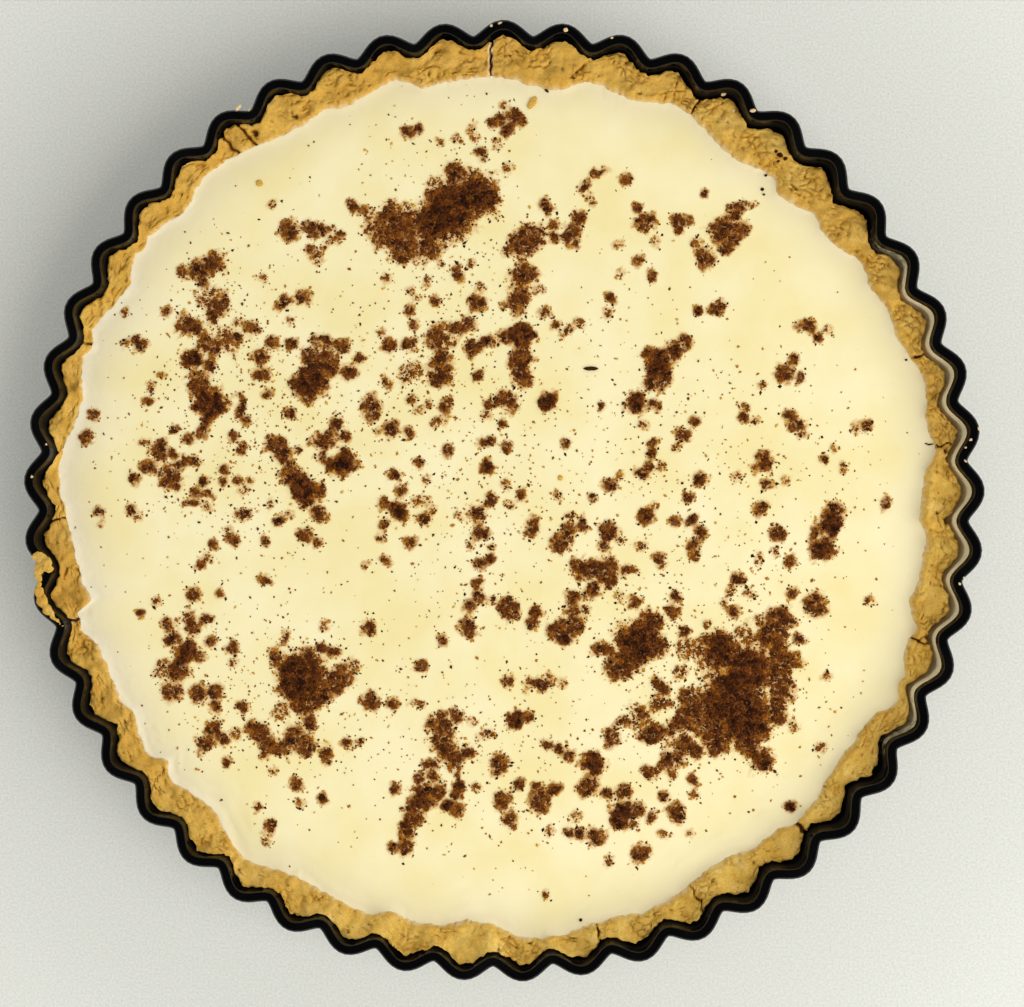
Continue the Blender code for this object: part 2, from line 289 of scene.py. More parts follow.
@dataclass(frozen=True)
class NonstickCoating:
    """Black non-stick coating, sprayed on pressed steel and cured.

    The eye sees near-black with a wet gloss, and highlights broken by a faint orange peel
    and by smears of baked-on grease. A pale cream band is painted on the wall's inner face
    at the right side.
    """

    black: str = "#040404"
    worn: str = "#0C0B0A"
    pale_band: str = "#E9E0B8"
    gloss: float = 0.09
    dull: float = 0.22
    inner_wall_roughness: float = 0.6
    peel_mm: float = 1.6
    peel_deep_mm: float = 0.02
    smear_mm: float = 14.0
    pale_band_edge_mm: float = 1.8

    def material(self) -> bpy.types.Material:
        """Return the finish as a material."""
        material, tree, shader = new_material("cured_nonstick_coating_on_steel")
        place = add_node(tree, "TexCoord", output="Object")
        smear = add_node(tree, "TexNoise", {**pattern(place, self.smear_mm),
                                            "Detail": 5.0, "Roughness": 0.62})
        worn = add_node(tree, "MapRange", {"Value": smear, "From Min": 0.5, "From Max": 0.75})
        coat = add_node(tree, "Mix", {0: worn, 6: linear(self.black), 7: linear(self.worn)},
                        **OF_COLOURS)
        # The pale cream band painted on the wall's inner face at the right, with torn edges and a
        # rougher surface.
        pale_band = add_node(tree, "Attribute", output="Fac", attribute_name="pale_band")
        ragged = add_node(tree, "TexNoise", {**pattern(place, self.pale_band_edge_mm), "Detail": 4.0})
        tear = add_node(tree, "MapRange", {"Value": ragged, **MOST_OF_IT,
                                           "To Min": -0.25, "To Max": 0.15})
        torn = add_node(tree, "Math", {0: pale_band, 1: tear}, operation="ADD")
        inner_band = add_node(tree, "MapRange", {"Value": torn, "From Min": 0.2, "From Max": 0.8})
        colour = add_node(tree, "Mix", {0: inner_band, 6: coat, 7: linear(self.pale_band)}, **OF_COLOURS)
        clean = add_node(tree, "MapRange", {"Value": smear, "From Min": 0.35, "From Max": 0.75,
                                            "To Min": self.gloss, "To Max": self.dull})
        banded = add_node(tree, "MapRange", {"Value": inner_band, "To Min": clean,
                                             "To Max": self.inner_wall_roughness})
        soiled = add_node(tree, "Attribute", output="Fac", attribute_name="soiled")
        rough = add_node(tree, "MapRange", {"Value": soiled, "To Min": banded,
                                            "To Max": self.inner_wall_roughness})
        peel = add_node(tree, "TexNoise", {**pattern(place, self.peel_mm),
                                           "Detail": 2.0})
        bump = add_node(tree, "Bump", {"Height": peel, "Strength": 0.5,
                                       "Distance": self.peel_deep_mm * MM})
        link_inputs(tree, shader, {"Base Color": colour, "Roughness": rough, "Normal": bump})
        shader.inputs["Specular IOR Level"].default_value = 0.35
        return material


@dataclass(frozen=True)
class BakedShortcrust:
    """Butter shortcrust, pressed in by hand and baked until golden.

    The eye sees matte golden crumb, paler on its floury crags. Painted shade makes its
    creases ochre and its cracks, pits and inner edge brown. Where custard ran into a crack
    it is lined with cream.
    """

    golden: tuple[tuple[float, str], ...] = (
        (0.25, "#D3A03C"), (0.42, "#E5B752"), (0.58, "#EFC764"), (0.75, "#F8D886"))
    shade_colours: tuple[tuple[float, str], ...] = ((0.35, "#A3721C"), (1.0, "#5A360E"))
    lining: str = "#F0DFBA"
    # The colour of more toasting, also painted as shade on the side away from the window light.
    toasted_and_shaded: str = "#C8953B"
    patch_mm: float = 6.0
    crumb_mm: float = 0.8
    crumb_deep_mm: float = 0.22
    fleck_mm: float = 0.4

    def material(self) -> bpy.types.Material:
        """Return the finish as a material."""
        material, tree, shader = new_material("baked_shortcrust_pastry")
        place = add_node(tree, "TexCoord", output="Object")
        patch = add_node(tree, "TexNoise", {**pattern(place, self.patch_mm),
                                            "Detail": 6.0, "Roughness": 0.65})
        golden = add_node(tree, "ValToRGB", {"Fac": patch}, stops=self.golden)
        # Toasting, with painted shade: darker on the side away from the window light.
        toast_and_side_shade = add_node(tree, "Attribute", output="Fac", attribute_name="toast_and_side_shade")
        toasted_and_shaded = add_node(tree, "Mix", {0: toast_and_side_shade, 6: golden, 7: linear(self.toasted_and_shaded)},
                           **OF_COLOURS)
        fleck = add_node(tree, "TexNoise", {**pattern(place, self.fleck_mm),
                                            "Detail": 2.0})
        shade = add_node(tree, "ValToRGB", {"Fac": fleck},
                         stops=((0.3, "#E2DCD2"), (0.7, "#FFFFFF")))
        flecked = add_node(tree, "Mix", {0: 1.0, 6: toasted_and_shaded, 7: shade}, blend_type="MULTIPLY",
                          **OF_COLOURS)
        cream = add_node(tree, "Attribute", output="Fac", attribute_name="cream")
        lined = add_node(tree, "Mix", {0: cream, 6: flecked, 7: linear(self.lining)}, **OF_COLOURS)
        # Painted shade: creases, pits, cracks and the inner edge darkened from ochre to brown.
        painted_shade = add_node(tree, "Attribute", output="Fac", attribute_name="painted_shade")
        depth = add_node(tree, "MapRange", {"Value": painted_shade, "From Min": 0.05, "From Max": 0.75,
                                            "To Max": 0.92})
        shadow = add_node(tree, "ValToRGB", {"Fac": painted_shade}, stops=self.shade_colours)
        colour = add_node(tree, "Mix", {0: depth, 6: lined, 7: shadow}, **OF_COLOURS)
        crumb = add_node(tree, "TexNoise", {**pattern(place, self.crumb_mm),
                                            "Detail": 5.0, "Roughness": 0.7})
        bump = add_node(tree, "Bump", {"Height": crumb, "Strength": 0.7,
                                       "Distance": self.crumb_deep_mm * MM})
        rough = add_node(tree, "MapRange", {"Value": crumb, **MOST_OF_IT,
                                            "To Min": 0.72, "To Max": 0.95})
        link_inputs(tree, shader, {"Base Color": colour, "Normal": bump, "Roughness": rough})
        shader.inputs["Specular IOR Level"].default_value = 0.15
        return material


@dataclass(frozen=True)
class SetCustard:
    """Milk and egg custard, baked until it just sets.

    The eye sees a soft cream skin with tiny bubbles and a little shine; painted shade makes
    it greyer along the crust. Where cinnamon lies, its oil stains the skin amber.
    """

    cream: str = "#FBEFBD"
    deep_cream: str = "#F6E6A6"
    # Painted shade along the crust.
    edge: str = "#F0E2B6"
    foam: str = "#EFE4C4"
    amber: str = "#D29A50"
    brown: str = "#74401A"
    blotch_mm: float = 22.0
    pore_mm: float = 0.9
    pore_deep_mm: float = 0.1
    bubble_mm: float = 1.3
    ragged_mm: float = 1.6

    def material(self) -> bpy.types.Material:
        """Return the finish as a material."""
        material, tree, shader = new_material("set_egg_custard")
        place = add_node(tree, "TexCoord", output="Object")
        blotch = add_node(tree, "TexNoise", {**pattern(place, self.blotch_mm),
                                             "Detail": 3.0})
        skin = add_node(tree, "ValToRGB", {"Fac": blotch},
                        stops=((0.35, self.cream), (0.65, self.deep_cream)))
        # Painted shade in a band along the crust.
        rim = add_node(tree, "Attribute", output="Fac", attribute_name="rim")
        edge_shaded = add_node(tree, "Mix", {0: rim, 6: skin, 7: linear(self.edge)}, **OF_COLOURS)
        foam = add_node(tree, "Attribute", output="Fac", attribute_name="foam")
        foamed = add_node(tree, "Mix", {0: foam, 6: edge_shaded, 7: linear(self.foam)}, **OF_COLOURS)
        ragged = add_node(tree, "TexNoise", {**pattern(place, self.ragged_mm),
                                             "Detail": 5.0, "Roughness": 0.7})
        tear = add_node(tree, "MapRange", {"Value": ragged, **MOST_OF_IT,
                                           "To Min": -0.4, "To Max": 0.12})
        cover = add_node(tree, "Attribute", output="Fac", attribute_name="cover")
        torn = add_node(tree, "Math", {0: cover, 1: tear}, operation="ADD")
        damp = add_node(tree, "MapRange", {"Value": torn, "From Min": 0.05, "From Max": 0.5,
                                           "To Max": 0.75})
        stained = add_node(tree, "Mix", {0: damp, 6: foamed, 7: linear(self.amber)}, **OF_COLOURS)
        thick = add_node(tree, "MapRange", {"Value": torn, "From Min": 0.45, "From Max": 0.8})
        colour = add_node(tree, "Mix", {0: thick, 6: stained, 7: linear(self.brown)}, **OF_COLOURS)
        pore = add_node(tree, "TexNoise", {**pattern(place, self.pore_mm),
                                           "Detail": 4.0, "Roughness": 0.6})
        bubble = add_node(tree, "TexVoronoi", {**pattern(place, self.bubble_mm)})
        froth = add_node(tree, "Math", {0: foam, 1: bubble}, operation="MULTIPLY")
        height = add_node(tree, "Math", {0: pore, 1: froth}, operation="SUBTRACT")
        bump = add_node(tree, "Bump", {"Height": height, "Strength": 0.5,
                                       "Distance": self.pore_deep_mm * MM})
        rough = add_node(tree, "MapRange", {"Value": pore, **MOST_OF_IT,
                                            "To Min": 0.42, "To Max": 0.6})
        link_inputs(tree, shader, {"Base Color": colour, "Normal": bump, "Roughness": rough})
        shader.inputs["Specular IOR Level"].default_value = 0.25
        return material


@dataclass(frozen=True)
class GroundCinnamon:
    """Cassia bark ground to a coarse powder and damp from the custard.

    The eye sees every grain from near-black bark through red-brown to amber, where a thin
    damp grain lets the light through.
    """

    tones: tuple[tuple[float, str], ...] = (
        (0.0, "#1E0E05"), (0.2, "#42200A"), (0.42, "#67360F"), (0.62, "#905416"),
        (0.82, "#BA7F26"), (1.0, "#CFA544"))
    roughness: float = 0.85
    mottle_mm: float = 0.5

    def material(self) -> bpy.types.Material:
        """Return the finish as a material."""
        material, tree, shader = new_material("ground_cassia_bark")
        place = add_node(tree, "TexCoord", output="Object")
        mottle = add_node(tree, "TexNoise", {**pattern(place, self.mottle_mm),
                                             "Detail": 3.0, "Roughness": 0.7})
        shift = add_node(tree, "MapRange", {"Value": mottle, **MOST_OF_IT,
                                            "To Min": -0.12, "To Max": 0.12})
        tone = add_node(tree, "Attribute", output="Fac", attribute_name="tone")
        mottled = add_node(tree, "Math", {0: tone, 1: shift}, operation="ADD")
        colour = add_node(tree, "ValToRGB", {"Fac": mottled}, stops=self.tones)
        rough = add_node(tree, "MapRange", {"Value": mottle, **MOST_OF_IT,
                                            "To Min": self.roughness - 0.15,
                                            "To Max": self.roughness + 0.1})
        link_inputs(tree, shader, {"Base Color": colour, "Roughness": rough})
        shader.inputs["Specular IOR Level"].default_value = 0.1
        return material


@dataclass(frozen=True)
class PaleCloth:
    """Off-white cotton, closely woven and laid flat.

    The eye sees soft white with the faint uneven grain of its threads.
    """

    white: str = "#EFEFE6"
    hollow: str = "#DEDED2"
    thread_mm: float = 0.7
    thread_deep_mm: float = 0.15

    def material(self) -> bpy.types.Material:
        """Return the finish as a material."""
        material, tree, shader = new_material("close_woven_cotton")
        place = add_node(tree, "TexCoord", output="Object")
        thread = add_node(tree, "TexNoise", {**pattern(place, self.thread_mm), "Detail": 3.0})
        colour = add_node(tree, "ValToRGB", {"Fac": thread},
                          stops=((0.3, self.hollow), (0.7, self.white)))
        bump = add_node(tree, "Bump", {"Height": thread, "Strength": 0.4,
                                       "Distance": self.thread_deep_mm * MM})
        link_inputs(tree, shader, {"Base Color": colour, "Normal": bump})
        shader.inputs["Roughness"].default_value = 0.92
        return material


# ------------------------------
# The tin
# ------------------------------

@dataclass
class TartTin:
    """A fluted tart tin pressed from steel sheet, its rim rolled outwards."""

    diameter: float = 280.0 * MM
    height: float = 30.0 * MM
    sheet: float = 0.6 * MM
    bead: float = 1.5 * MM
    flutes: int = 49
    phase: float = math.radians(1.2)
    depth_rim: float = 4.45 * MM
    depth_base: float = 3.4 * MM
    lean: float = 5.4 * MM
    corner: float = 0.8 * MM
    base_margin: float = 9.0 * MM
    columns_per_flute: int = 16
    curl: float = 1.0 * MM
    fold: float = 0.4 * MM
    bead_steps: int = 9
    fold_steps: int = 6
    wall_steps: int = 6
    inner_levels_mm: tuple[float, ...] = (28.1, 27.6, 27.0, 25.5, 23.0, 18.0, 9.0)
    pale_band_middle: float = math.radians(1)
    pale_band_half_turn: tuple[float, float] = (math.radians(39), math.radians(21))

    def depth(self, height: np.ndarray | float) -> np.ndarray:
        """Return how deep the flutes are at a height, from crest to trough."""
        return self.depth_base + (self.depth_rim - self.depth_base) * height / self.height

    def inside(self, angle: np.ndarray, height: np.ndarray | float) -> np.ndarray:
        """Return the radius of the wall's inner face at an angle and a height."""
        crest = self.diameter / 2 - 2 * self.bead - self.lean * (1 - height / self.height)
        wave = np.cos(self.flutes * (angle - self.phase))
        return crest - self.depth(height) * (1 - wave) / 2

    def beside(self, angle: np.ndarray, level: np.ndarray, offset: np.ndarray,
               height: np.ndarray) -> np.ndarray:
        """Return points square out from the wall's inner face.

        Args:
            angle: the angles round the tin.
            level: the height at which the wall's radius is taken.
            offset: the distance out from that radius; far inwards it runs to the middle.
            height: the points' own heights.

        Returns:
            The points, as rows x, y, z.
        """
        square = np.maximum(offset, -self.corner)
        radius = self.inside(angle, level)
        slope = (-self.flutes * np.sin(self.flutes * (angle - self.phase))
                 * self.depth(level) / 2)
        length = np.hypot(radius, slope)
        out = radius + square * radius / length + offset - square
        along = -square * slope / length
        return np.stack([out * np.cos(angle) - along * np.sin(angle),
                         out * np.sin(angle) + along * np.cos(angle), height], axis=1)

    def section(self) -> np.ndarray:
        """Return the wall's section, from the outer base over the bead to the inner base.

        Returns:
            Rows of the height whose wall radius a stop follows, its distance out from
            that radius, its own height, and 1 on most of the wall's inner face, which is rougher
            there and can carry the pale cream band.
        """
        stops = [(0.0, self.sheet - self.base_margin, 0.0, 0)]
        for turn in np.radians(np.linspace(-90, 0, 5)):
            stops.append((0.0, self.sheet + self.corner * (math.cos(turn) - 1),
                          self.corner * (1 + math.sin(turn)), 0))
        under_bead = self.height - 1.75 * self.bead
        for level in np.linspace(self.corner, under_bead, self.wall_steps)[1:]:
            stops.append((level, self.sheet, level, 0))
        for turn in np.radians(np.linspace(-125, 0, self.bead_steps)):
            stops.append((self.height, self.bead * (1 + math.cos(turn)),
                          self.height - self.bead + self.bead * math.sin(turn), 0))
        for turn in np.radians(np.linspace(0, 90, self.bead_steps)):
            stops.append((self.height, 2 * self.bead + self.curl * (math.cos(turn) - 1),
                          self.height + self.curl * (math.sin(turn) - 1), 0))
        for turn in np.radians(np.linspace(90, 180, self.fold_steps)):
            stops.append((self.height, self.fold * (1 + math.cos(turn)),
                          self.height - self.fold + self.fold * math.sin(turn), 0))
        for number, level_mm in enumerate(self.inner_levels_mm):
            stops.append((level_mm * MM, 0.0, level_mm * MM, min(1, number)))
        low = self.sheet + self.corner
        for turn in np.radians(np.linspace(0, -90, 5)):
            stops.append((0.0, self.corner * (math.cos(turn) - 1),
                          low + self.corner * math.sin(turn), 0))
        stops.append((0.0, -self.base_margin, self.sheet, 0))
        return np.array(stops)

    def build(self, coating: bpy.types.Material) -> bpy.types.Object:
        """Build the tin from a sheet that is wrapped round and closed by its base."""
        section = self.section()
        item = add_grid("fluted_tin", self.flutes * self.columns_per_flute, len(section) - 1)
        angle, ring = grid_turns(item, len(section))
        level, offset, height, inner_band = section[ring].T
        move_vertices(item, self.beside(angle, level, offset, height))
        # A pale cream band is painted on the wall's inner face, in a sector round +X.
        sector = smooth_step(*np.cos(self.pale_band_half_turn),
                             np.cos(angle - self.pale_band_middle))
        set_attribute(item, "pale_band", inner_band * sector)
        set_attribute(item, "soiled", inner_band)
        close_round(item)
        shade_smooth(item, 40)
        dress(item, Slot.TIN, coating, "tart_tin")
        return item


# ------------------------------
# The pastry case
# ------------------------------

# The crust's inner edge, where its bulges and hollows turn: degrees from +X, radius in mm.
CRUST_EDGE = (
    (2, 123.2), (7, 127.8), (10, 126.5), (16, 128.6), (22.5, 125.2), (26, 126.0), (30, 124.8),
    (33, 126.0), (39, 122.3), (41.5, 123.7), (47.5, 121.2), (50, 123.4), (55.5, 121.3),
    (66, 126.7), (72, 123.6), (78, 125.6), (82, 121.3), (92, 124.7), (100, 123.7), (104, 127.4),
    (111.5, 124.7), (114, 126.3), (118, 125.0), (132.5, 129.5), (137, 126.5), (144.5, 130.8),
    (150, 126.9), (159, 131.1), (167.5, 127.3), (175, 131.0), (187.5, 126.7), (190, 126.0),
    (193.5, 124.3), (195.5, 131.0), (200, 126.5), (204, 126.1), (208, 126.7), (210, 125.4),
    (216, 128.2), (218, 124.7), (220, 127.6), (226.5, 124.3), (234.5, 129.5), (242, 126.0),
    (253, 127.8), (255, 125.2), (260, 126.8), (267, 123.6), (275, 129.0), (287, 126.5),
    (290, 127.6), (302.5, 123.4), (306.5, 126.0), (310, 125.2), (312.5, 127.8), (324, 124.6),
    (329, 125.2), (334, 130.2), (341, 125.6), (342.5, 127.2), (346.5, 122.8), (349.5, 124.5),
    (355, 124.8), (357.5, 122.6),
)

# Height of the crust's outer edge, which creeps up the tin in places: degrees from +X, mm.
CRUST_OUTER_EDGE = (
    (0, 25.2), (60, 25.7), (85, 27.6), (130, 27.2), (165, 25.6), (200, 25.6), (235, 27.2),
    (270, 27.6), (290, 26.4), (320, 25.4),
)

# Cracks across the crust: degrees from +X, then the depth, the half width and the half width
# of the cream lining in mm.
CRUST_CRACKS = (
    (7.2, 1.6, 0.25, 0), (19, 2.0, 0.3, 0), (63.5, 2.0, 0.3, 0), (91, 3.0, 0.3, 0.65),
    (124.5, 2.4, 0.35, 0), (127, 2.6, 0.4, 0), (159, 2.4, 0.35, 0), (182.6, 2.0, 0.3, 0),
    (195.5, 2.6, 0.4, 0.6), (283, 2.4, 0.3, 0), (296.5, 1.6, 0.25, 0), (312.7, 3.2, 0.5, 0),
    (341.5, 1.8, 0.3, 0),
)

# Holes and short splits in the crust's top: x, y, half length, half width in mm, turn in
# degrees and depth in mm.
CRUST_HOLES = (
    (4.5, 131.6, 1.9, 0.35, -20, 0.9), (-8.2, 129.1, 4.4, 0.3, 8, 0.7), (11.3, 127.2, 2.5, 0.4, -2, 0.6),
    (13, 130.6, 2.1, 0.3, -5, 0.5), (24, 126.5, 3, 0.45, 40, 0.8), (-18, 132, 1, 0.6, 0, 0.8),
    (31.7, 130.6, 2.3, 0.5, -12, 0.6), (38.2, 127.1, 2, 0.4, -30, 0.6), (-72.1, 108.6, 1.1, 0.9, 0, 2),
    (-73.2, 112, 1.6, 0.6, -60, 1.8), (-60.3, 113.7, 1.4, 0.4, -50, 1.4), (127.3, -3.4, 0.5, 0.4, 0, 1),
    (129.8, -5.9, 0.6, 1.3, 0, 1.4), (129.8, 14.7, 0.7, 0.6, 0, 1.2), (-104.5, -72, 2.2, 0.6, -40, 1),
    (-112.5, -60, 1.8, 0.5, -60, 0.8), (-99, -80, 1.6, 0.4, -50, 0.7), (-128.5, -21, 1.6, 0.4, 70, 0.8),
)


@dataclass
class CustardLevel:
    """The height of the custard's skin, before its fine relief."""

    reach: float = 140.0 * MM
    level: float = 23.6 * MM
    swell: float = 0.3 * MM
    left_rise: float = 0.5 * MM
    ripple_height: float = 0.12 * MM
    ripple_size: float = 26.0 * MM

    def height(self, x: np.ndarray, y: np.ndarray) -> np.ndarray:
        """Return the skin's height at places x, y."""
        flat = on_plane(x, y)
        left = np.maximum(0.0, -x) / self.reach
        return (self.level + self.swell * (1 - (np.hypot(x, y) / self.reach) ** 2)
                + self.left_rise * left ** 2
                + self.ripple_height * noise_at(flat, self.ripple_size))


@dataclass
class PastryCase:
    """The shortcrust case: fluted outside by the tin, crumbled and cracked on its rim."""

    tin: TartTin
    custard: CustardLevel
    gap: float = 0.3 * MM
    side_gap: float = 0.08 * MM
    base: float = 5.0 * MM
    top: float = 26.1 * MM
    left_drop: float = 1.0 * MM
    shoulder: float = 0.6 * MM
    min_width: float = 2.4 * MM
    crag_height: float = 1.15 * MM
    crag_size: float = 5.5 * MM
    shrink_left: float = 0.1 * MM
    shrink_right: float = 1.3 * MM
    rounding: float = 0.5 * MM
    bare_degrees: float = 173.0
    bare_loss: float = 1.7 * MM
    taper: float = 2.0 * MM
    ragged: float = 0.75 * MM
    lip_depth: float = 2.0 * MM
    lit_side_turn: float = math.radians(50)
    warp: float = 0.9 * MM
    crumb_cell: float = 2.6 * MM
    grit: float = 0.3 * MM
    fine_grit: float = 0.16 * MM
    dip_depth: float = 0.45 * MM
    seam_depth: float = 0.3 * MM
    crease_depth: float = 0.55 * MM
    pit_depth: float = 0.4 * MM
    # The depths of a hole and of a crack at which their painted shade is full.
    dark_hole: float = 1.6 * MM
    dark_crack: float = 2.0 * MM
    columns_per_flute: int = 40
    rim_rings: int = 34
    lip_rings: int = 6

    def outside(self, angle: np.ndarray, height: np.ndarray | float) -> np.ndarray:
        """Return the radius of the outer face, drawn back and rounder near the rim."""
        right = (1 + np.cos(angle)) / 2
        crest = (1 + np.cos(self.tin.flutes * (angle - self.tin.phase))) / 2
        shrink = (self.shrink_left + (self.shrink_right - self.shrink_left) * right ** 2
                  + self.rounding * crest ** 2)
        return (self.tin.inside(angle, height) - self.side_gap
                - shrink * np.clip(height / self.top, 0.0, 1.0))

    def inside(self, angle: np.ndarray) -> np.ndarray:
        """Return the radius of the inner edge, a little crumbled and nearly bare at one flute."""
        turn = (np.degrees(angle) - self.bare_degrees + 180) % 360 - 180
        width = self.min_width - self.bare_loss * np.exp(-(turn / 3.0) ** 2)
        around = ring_points(np.full_like(angle, self.custard.reach), angle, 0.0 * angle)
        crumbled = 0.4 * noise_at(around, 1.4 * MM, 2.0) + 0.7 * noise_at(around, 4.0 * MM, 6.0)
        return np.minimum(eased(CRUST_EDGE, angle) + crumbled * MM,
                          self.outside(angle, self.custard.level) - width)

    def cracks(self, angle: np.ndarray, radius: np.ndarray) -> tuple[np.ndarray, np.ndarray]:
        """Return how deep the cracks across the rim cut at each point, and their lining."""
        depth, lining = np.zeros_like(angle), np.zeros_like(angle)
        for degrees, crack_mm, half_mm, lining_mm in CRUST_CRACKS:
            turn = (angle - math.radians(degrees) + np.pi) % (2 * np.pi) - np.pi
            near = np.abs(turn) < math.radians(2)
            course = np.stack([radius[near] / (2.6 * MM), 0 * radius[near] + degrees,
                               0 * radius[near]], axis=1)
            across = turn[near] * radius[near] / MM + 1.3 * noise_at(course, 1.0)
            width = half_mm * (1 + 0.8 * noise_at(course + 7.0, 0.7))
            slit = np.exp(-(across / width) ** 2)
            depth[near] = np.maximum(depth[near], crack_mm * MM * slit)
            if lining_mm:
                lining[near] = np.exp(-(across / lining_mm) ** 4) * (1 - slit)
        return depth, lining

    @staticmethod
    def holes(flat: np.ndarray) -> np.ndarray:
        """Return how deep the holes and short splits are at each point."""
        depth = np.zeros(len(flat))
        for x, y, length, width, degrees, hole_mm in CRUST_HOLES:
            dx, dy = flat[:, 0] / MM - x, flat[:, 1] / MM - y
            near = np.hypot(dx, dy) < 2 * max(length, width)
            turn = math.radians(degrees)
            along = (dx * math.cos(turn) + dy * math.sin(turn))[near] / length
            across = (dy * math.cos(turn) - dx * math.sin(turn))[near] / width
            hole = hole_mm * MM * np.exp(-np.hypot(along, across) ** 4)
            depth[near] = np.maximum(depth[near], hole)
        return depth

    def relief(self, angle: np.ndarray, radius: np.ndarray,
               share: np.ndarray) -> tuple[np.ndarray, np.ndarray, np.ndarray]:
        """Return the rim's relief.

        Args:
            angle: angles round the rim.
            radius: radii on the rim.
            share: how far across the rim, 0 at its outer edge and 1 at the custard.

        Returns:
            The heights, how far each point lies in a crease or a pit, which sets its painted
            shade, and the cream lining.
        """
        flat = ring_points(radius, angle, 0.0 * radius)
        middle = self.top - self.left_drop * (1 - np.cos(angle)) / 2
        climb = eased(CRUST_OUTER_EDGE, angle) + self.shoulder - middle
        crag = noise_at(flat, self.crag_size) + 0.5 * noise_at(flat, self.crag_size / 2.1)
        bent = flat + self.warp * noise_at(flat, 1.5 * MM, 40.0)[:, None]
        border = cell_border(bent, self.crumb_cell)
        crumbly = smooth_step(-0.1, 0.3, noise_at(flat, 8.0 * MM, 5.0) + 0.2 * np.cos(angle))
        dip = crumbly * (1 - np.minimum(border / 0.4, 1.0)) ** 2
        seam = crumbly * np.exp(-(border / 0.09) ** 2)
        stretched = ring_points(np.full_like(angle, self.custard.reach / 3.0), angle, radius)
        crease = np.exp(-(noise_at(stretched, 1.3 * MM, 3.0) / 0.07) ** 2)
        crease *= smooth_step(0.05, 0.35, noise_at(flat, 4.0 * MM, 31.0))
        pits = smooth_step(0.45, 0.6, noise_at(flat, 1.5 * MM, 17.0))
        holes = self.holes(bent)
        crack, lining = self.cracks(angle, radius)
        height = (middle + climb * (1 - share) ** 2 + self.crag_height * crag
                  + self.grit * noise_at(flat, 1.6 * MM, 3.0)
                  + self.fine_grit * noise_at(flat, 0.8 * MM, 8.0)
                  - self.dip_depth * dip - self.seam_depth * seam - self.crease_depth * crease
                  - self.pit_depth * pits - holes - crack)
        # How much painted shade each dip, seam, crease, pit, hole and crack gets.
        hollow = (0.24 * dip + 0.16 * seam + 0.36 * crease + 0.45 * pits
                  + holes / self.dark_hole + crack / self.dark_crack)
        return height, np.clip(hollow, 0, 1), lining

    def build(self, crust: bpy.types.Material) -> bpy.types.Object:
        """Build the case from a sheet wrapped round: outer wall, rim, lip and inner wall."""
        foot = self.tin.sheet + self.gap
        walls = ((foot, 14 * MM), (foot, 0.0), (10 * MM, 0.0), (20 * MM, 0.0))
        first_rim, first_lip = len(walls), len(walls) + self.rim_rings
        rings = first_lip + self.lip_rings + 2
        item = add_grid("pastry_crust", self.tin.flutes * self.columns_per_flute, rings - 1)
        angle, ring = grid_turns(item, rings)
        around = ring_points(np.full_like(angle, self.custard.reach), angle, 0.0 * angle)
        teeth = 0.15 + noise_at(around, 2.3 * MM, 4.0) + 0.6 * noise_at(around, 1.0 * MM, 14.0)
        inner = self.inside(angle)
        edge = eased(CRUST_OUTER_EDGE, angle)
        outer = np.minimum(self.outside(angle, edge) - self.ragged * np.maximum(-0.6, teeth),
                           self.tin.inside(angle, edge) - self.side_gap)
        skin = self.custard.height(inner * np.cos(angle), inner * np.sin(angle)) + self.gap
        points, painted_shade = np.zeros((len(angle), 3)), np.zeros(len(angle))
        cream = np.zeros(len(angle))
        for number, (height, inset) in enumerate(walls):
            here = ring == number
            points[here] = ring_points(self.outside(angle[here], height) - inset, angle[here],
                                       height)
        rim = (ring >= first_rim) & (ring < first_lip)
        share = (ring[rim] - first_rim) / (self.rim_rings - 1)
        radius = outer[rim] + (inner[rim] - outer[rim]) * share
        height, hollow, lining = self.relief(angle[rim], radius, share)
        height -= self.shoulder * (1 - smooth_step(-0.05, 0.1, share))
        fall = smooth_step(0.8, 1.04, share)
        height = np.maximum(height + (skin[rim] - height) * fall, skin[rim] - 0.6 * MM)
        points[rim] = ring_points(radius, angle[rim], height)
        # Painted shade, also in a band where the crust drops to the custard.
        painted_shade[rim] = np.maximum(hollow, 0.12 * smooth_step(0.8, 1.0, share))
        meeting = share + 0.09 * noise_at(around[rim], 1.2 * MM, 9.0)
        cream[rim] = np.maximum(lining, 0.5 * smooth_step(0.88, 1.02, meeting))
        lip = (ring >= first_lip) & (ring < rings - 2)
        drop = (ring[lip] - first_lip + 1) / self.lip_rings
        points[lip] = ring_points(inner[lip] - 0.2 * MM * drop, angle[lip],
                                  skin[lip] - self.lip_depth * drop)
        # Painted shade on the lip that drops into the custard.
        painted_shade[lip] = 0.3
        for number, inset in ((rings - 2, 0.0), (rings - 1, 12 * MM)):
            here = ring == number
            points[here] = ring_points((inner - self.taper - inset)[here], angle[here],
                                       foot + self.base)
        move_vertices(item, points)
        spread = noise_at(points, 24.0 * MM, 2.0)
        # Painted light and shade: paler on the side towards the window light, darker away from it; a
        # slow noise varies the toasting.
        right = smooth_step(-0.3, 1.0, np.cos(angle + self.lit_side_turn))
        set_attribute(item, "painted_shade", painted_shade)
        set_attribute(item, "cream", cream)
        set_attribute(item, "toast_and_side_shade", np.clip(0.52 - 0.46 * right + 0.42 * spread, 0, 0.8))
        close_round(item)
        shade_smooth(item, 75)
        dress(item, Slot.PASTRY, crust, "pastry_case")
        return item


# ------------------------------
# The cinnamon's places
# ------------------------------

class Cover(Enum):
    """How thickly the cinnamon lies, as the share of the skin that it hides."""

    THIN = 0.55
    FULL = 0.85
    HEAPED = 1.15


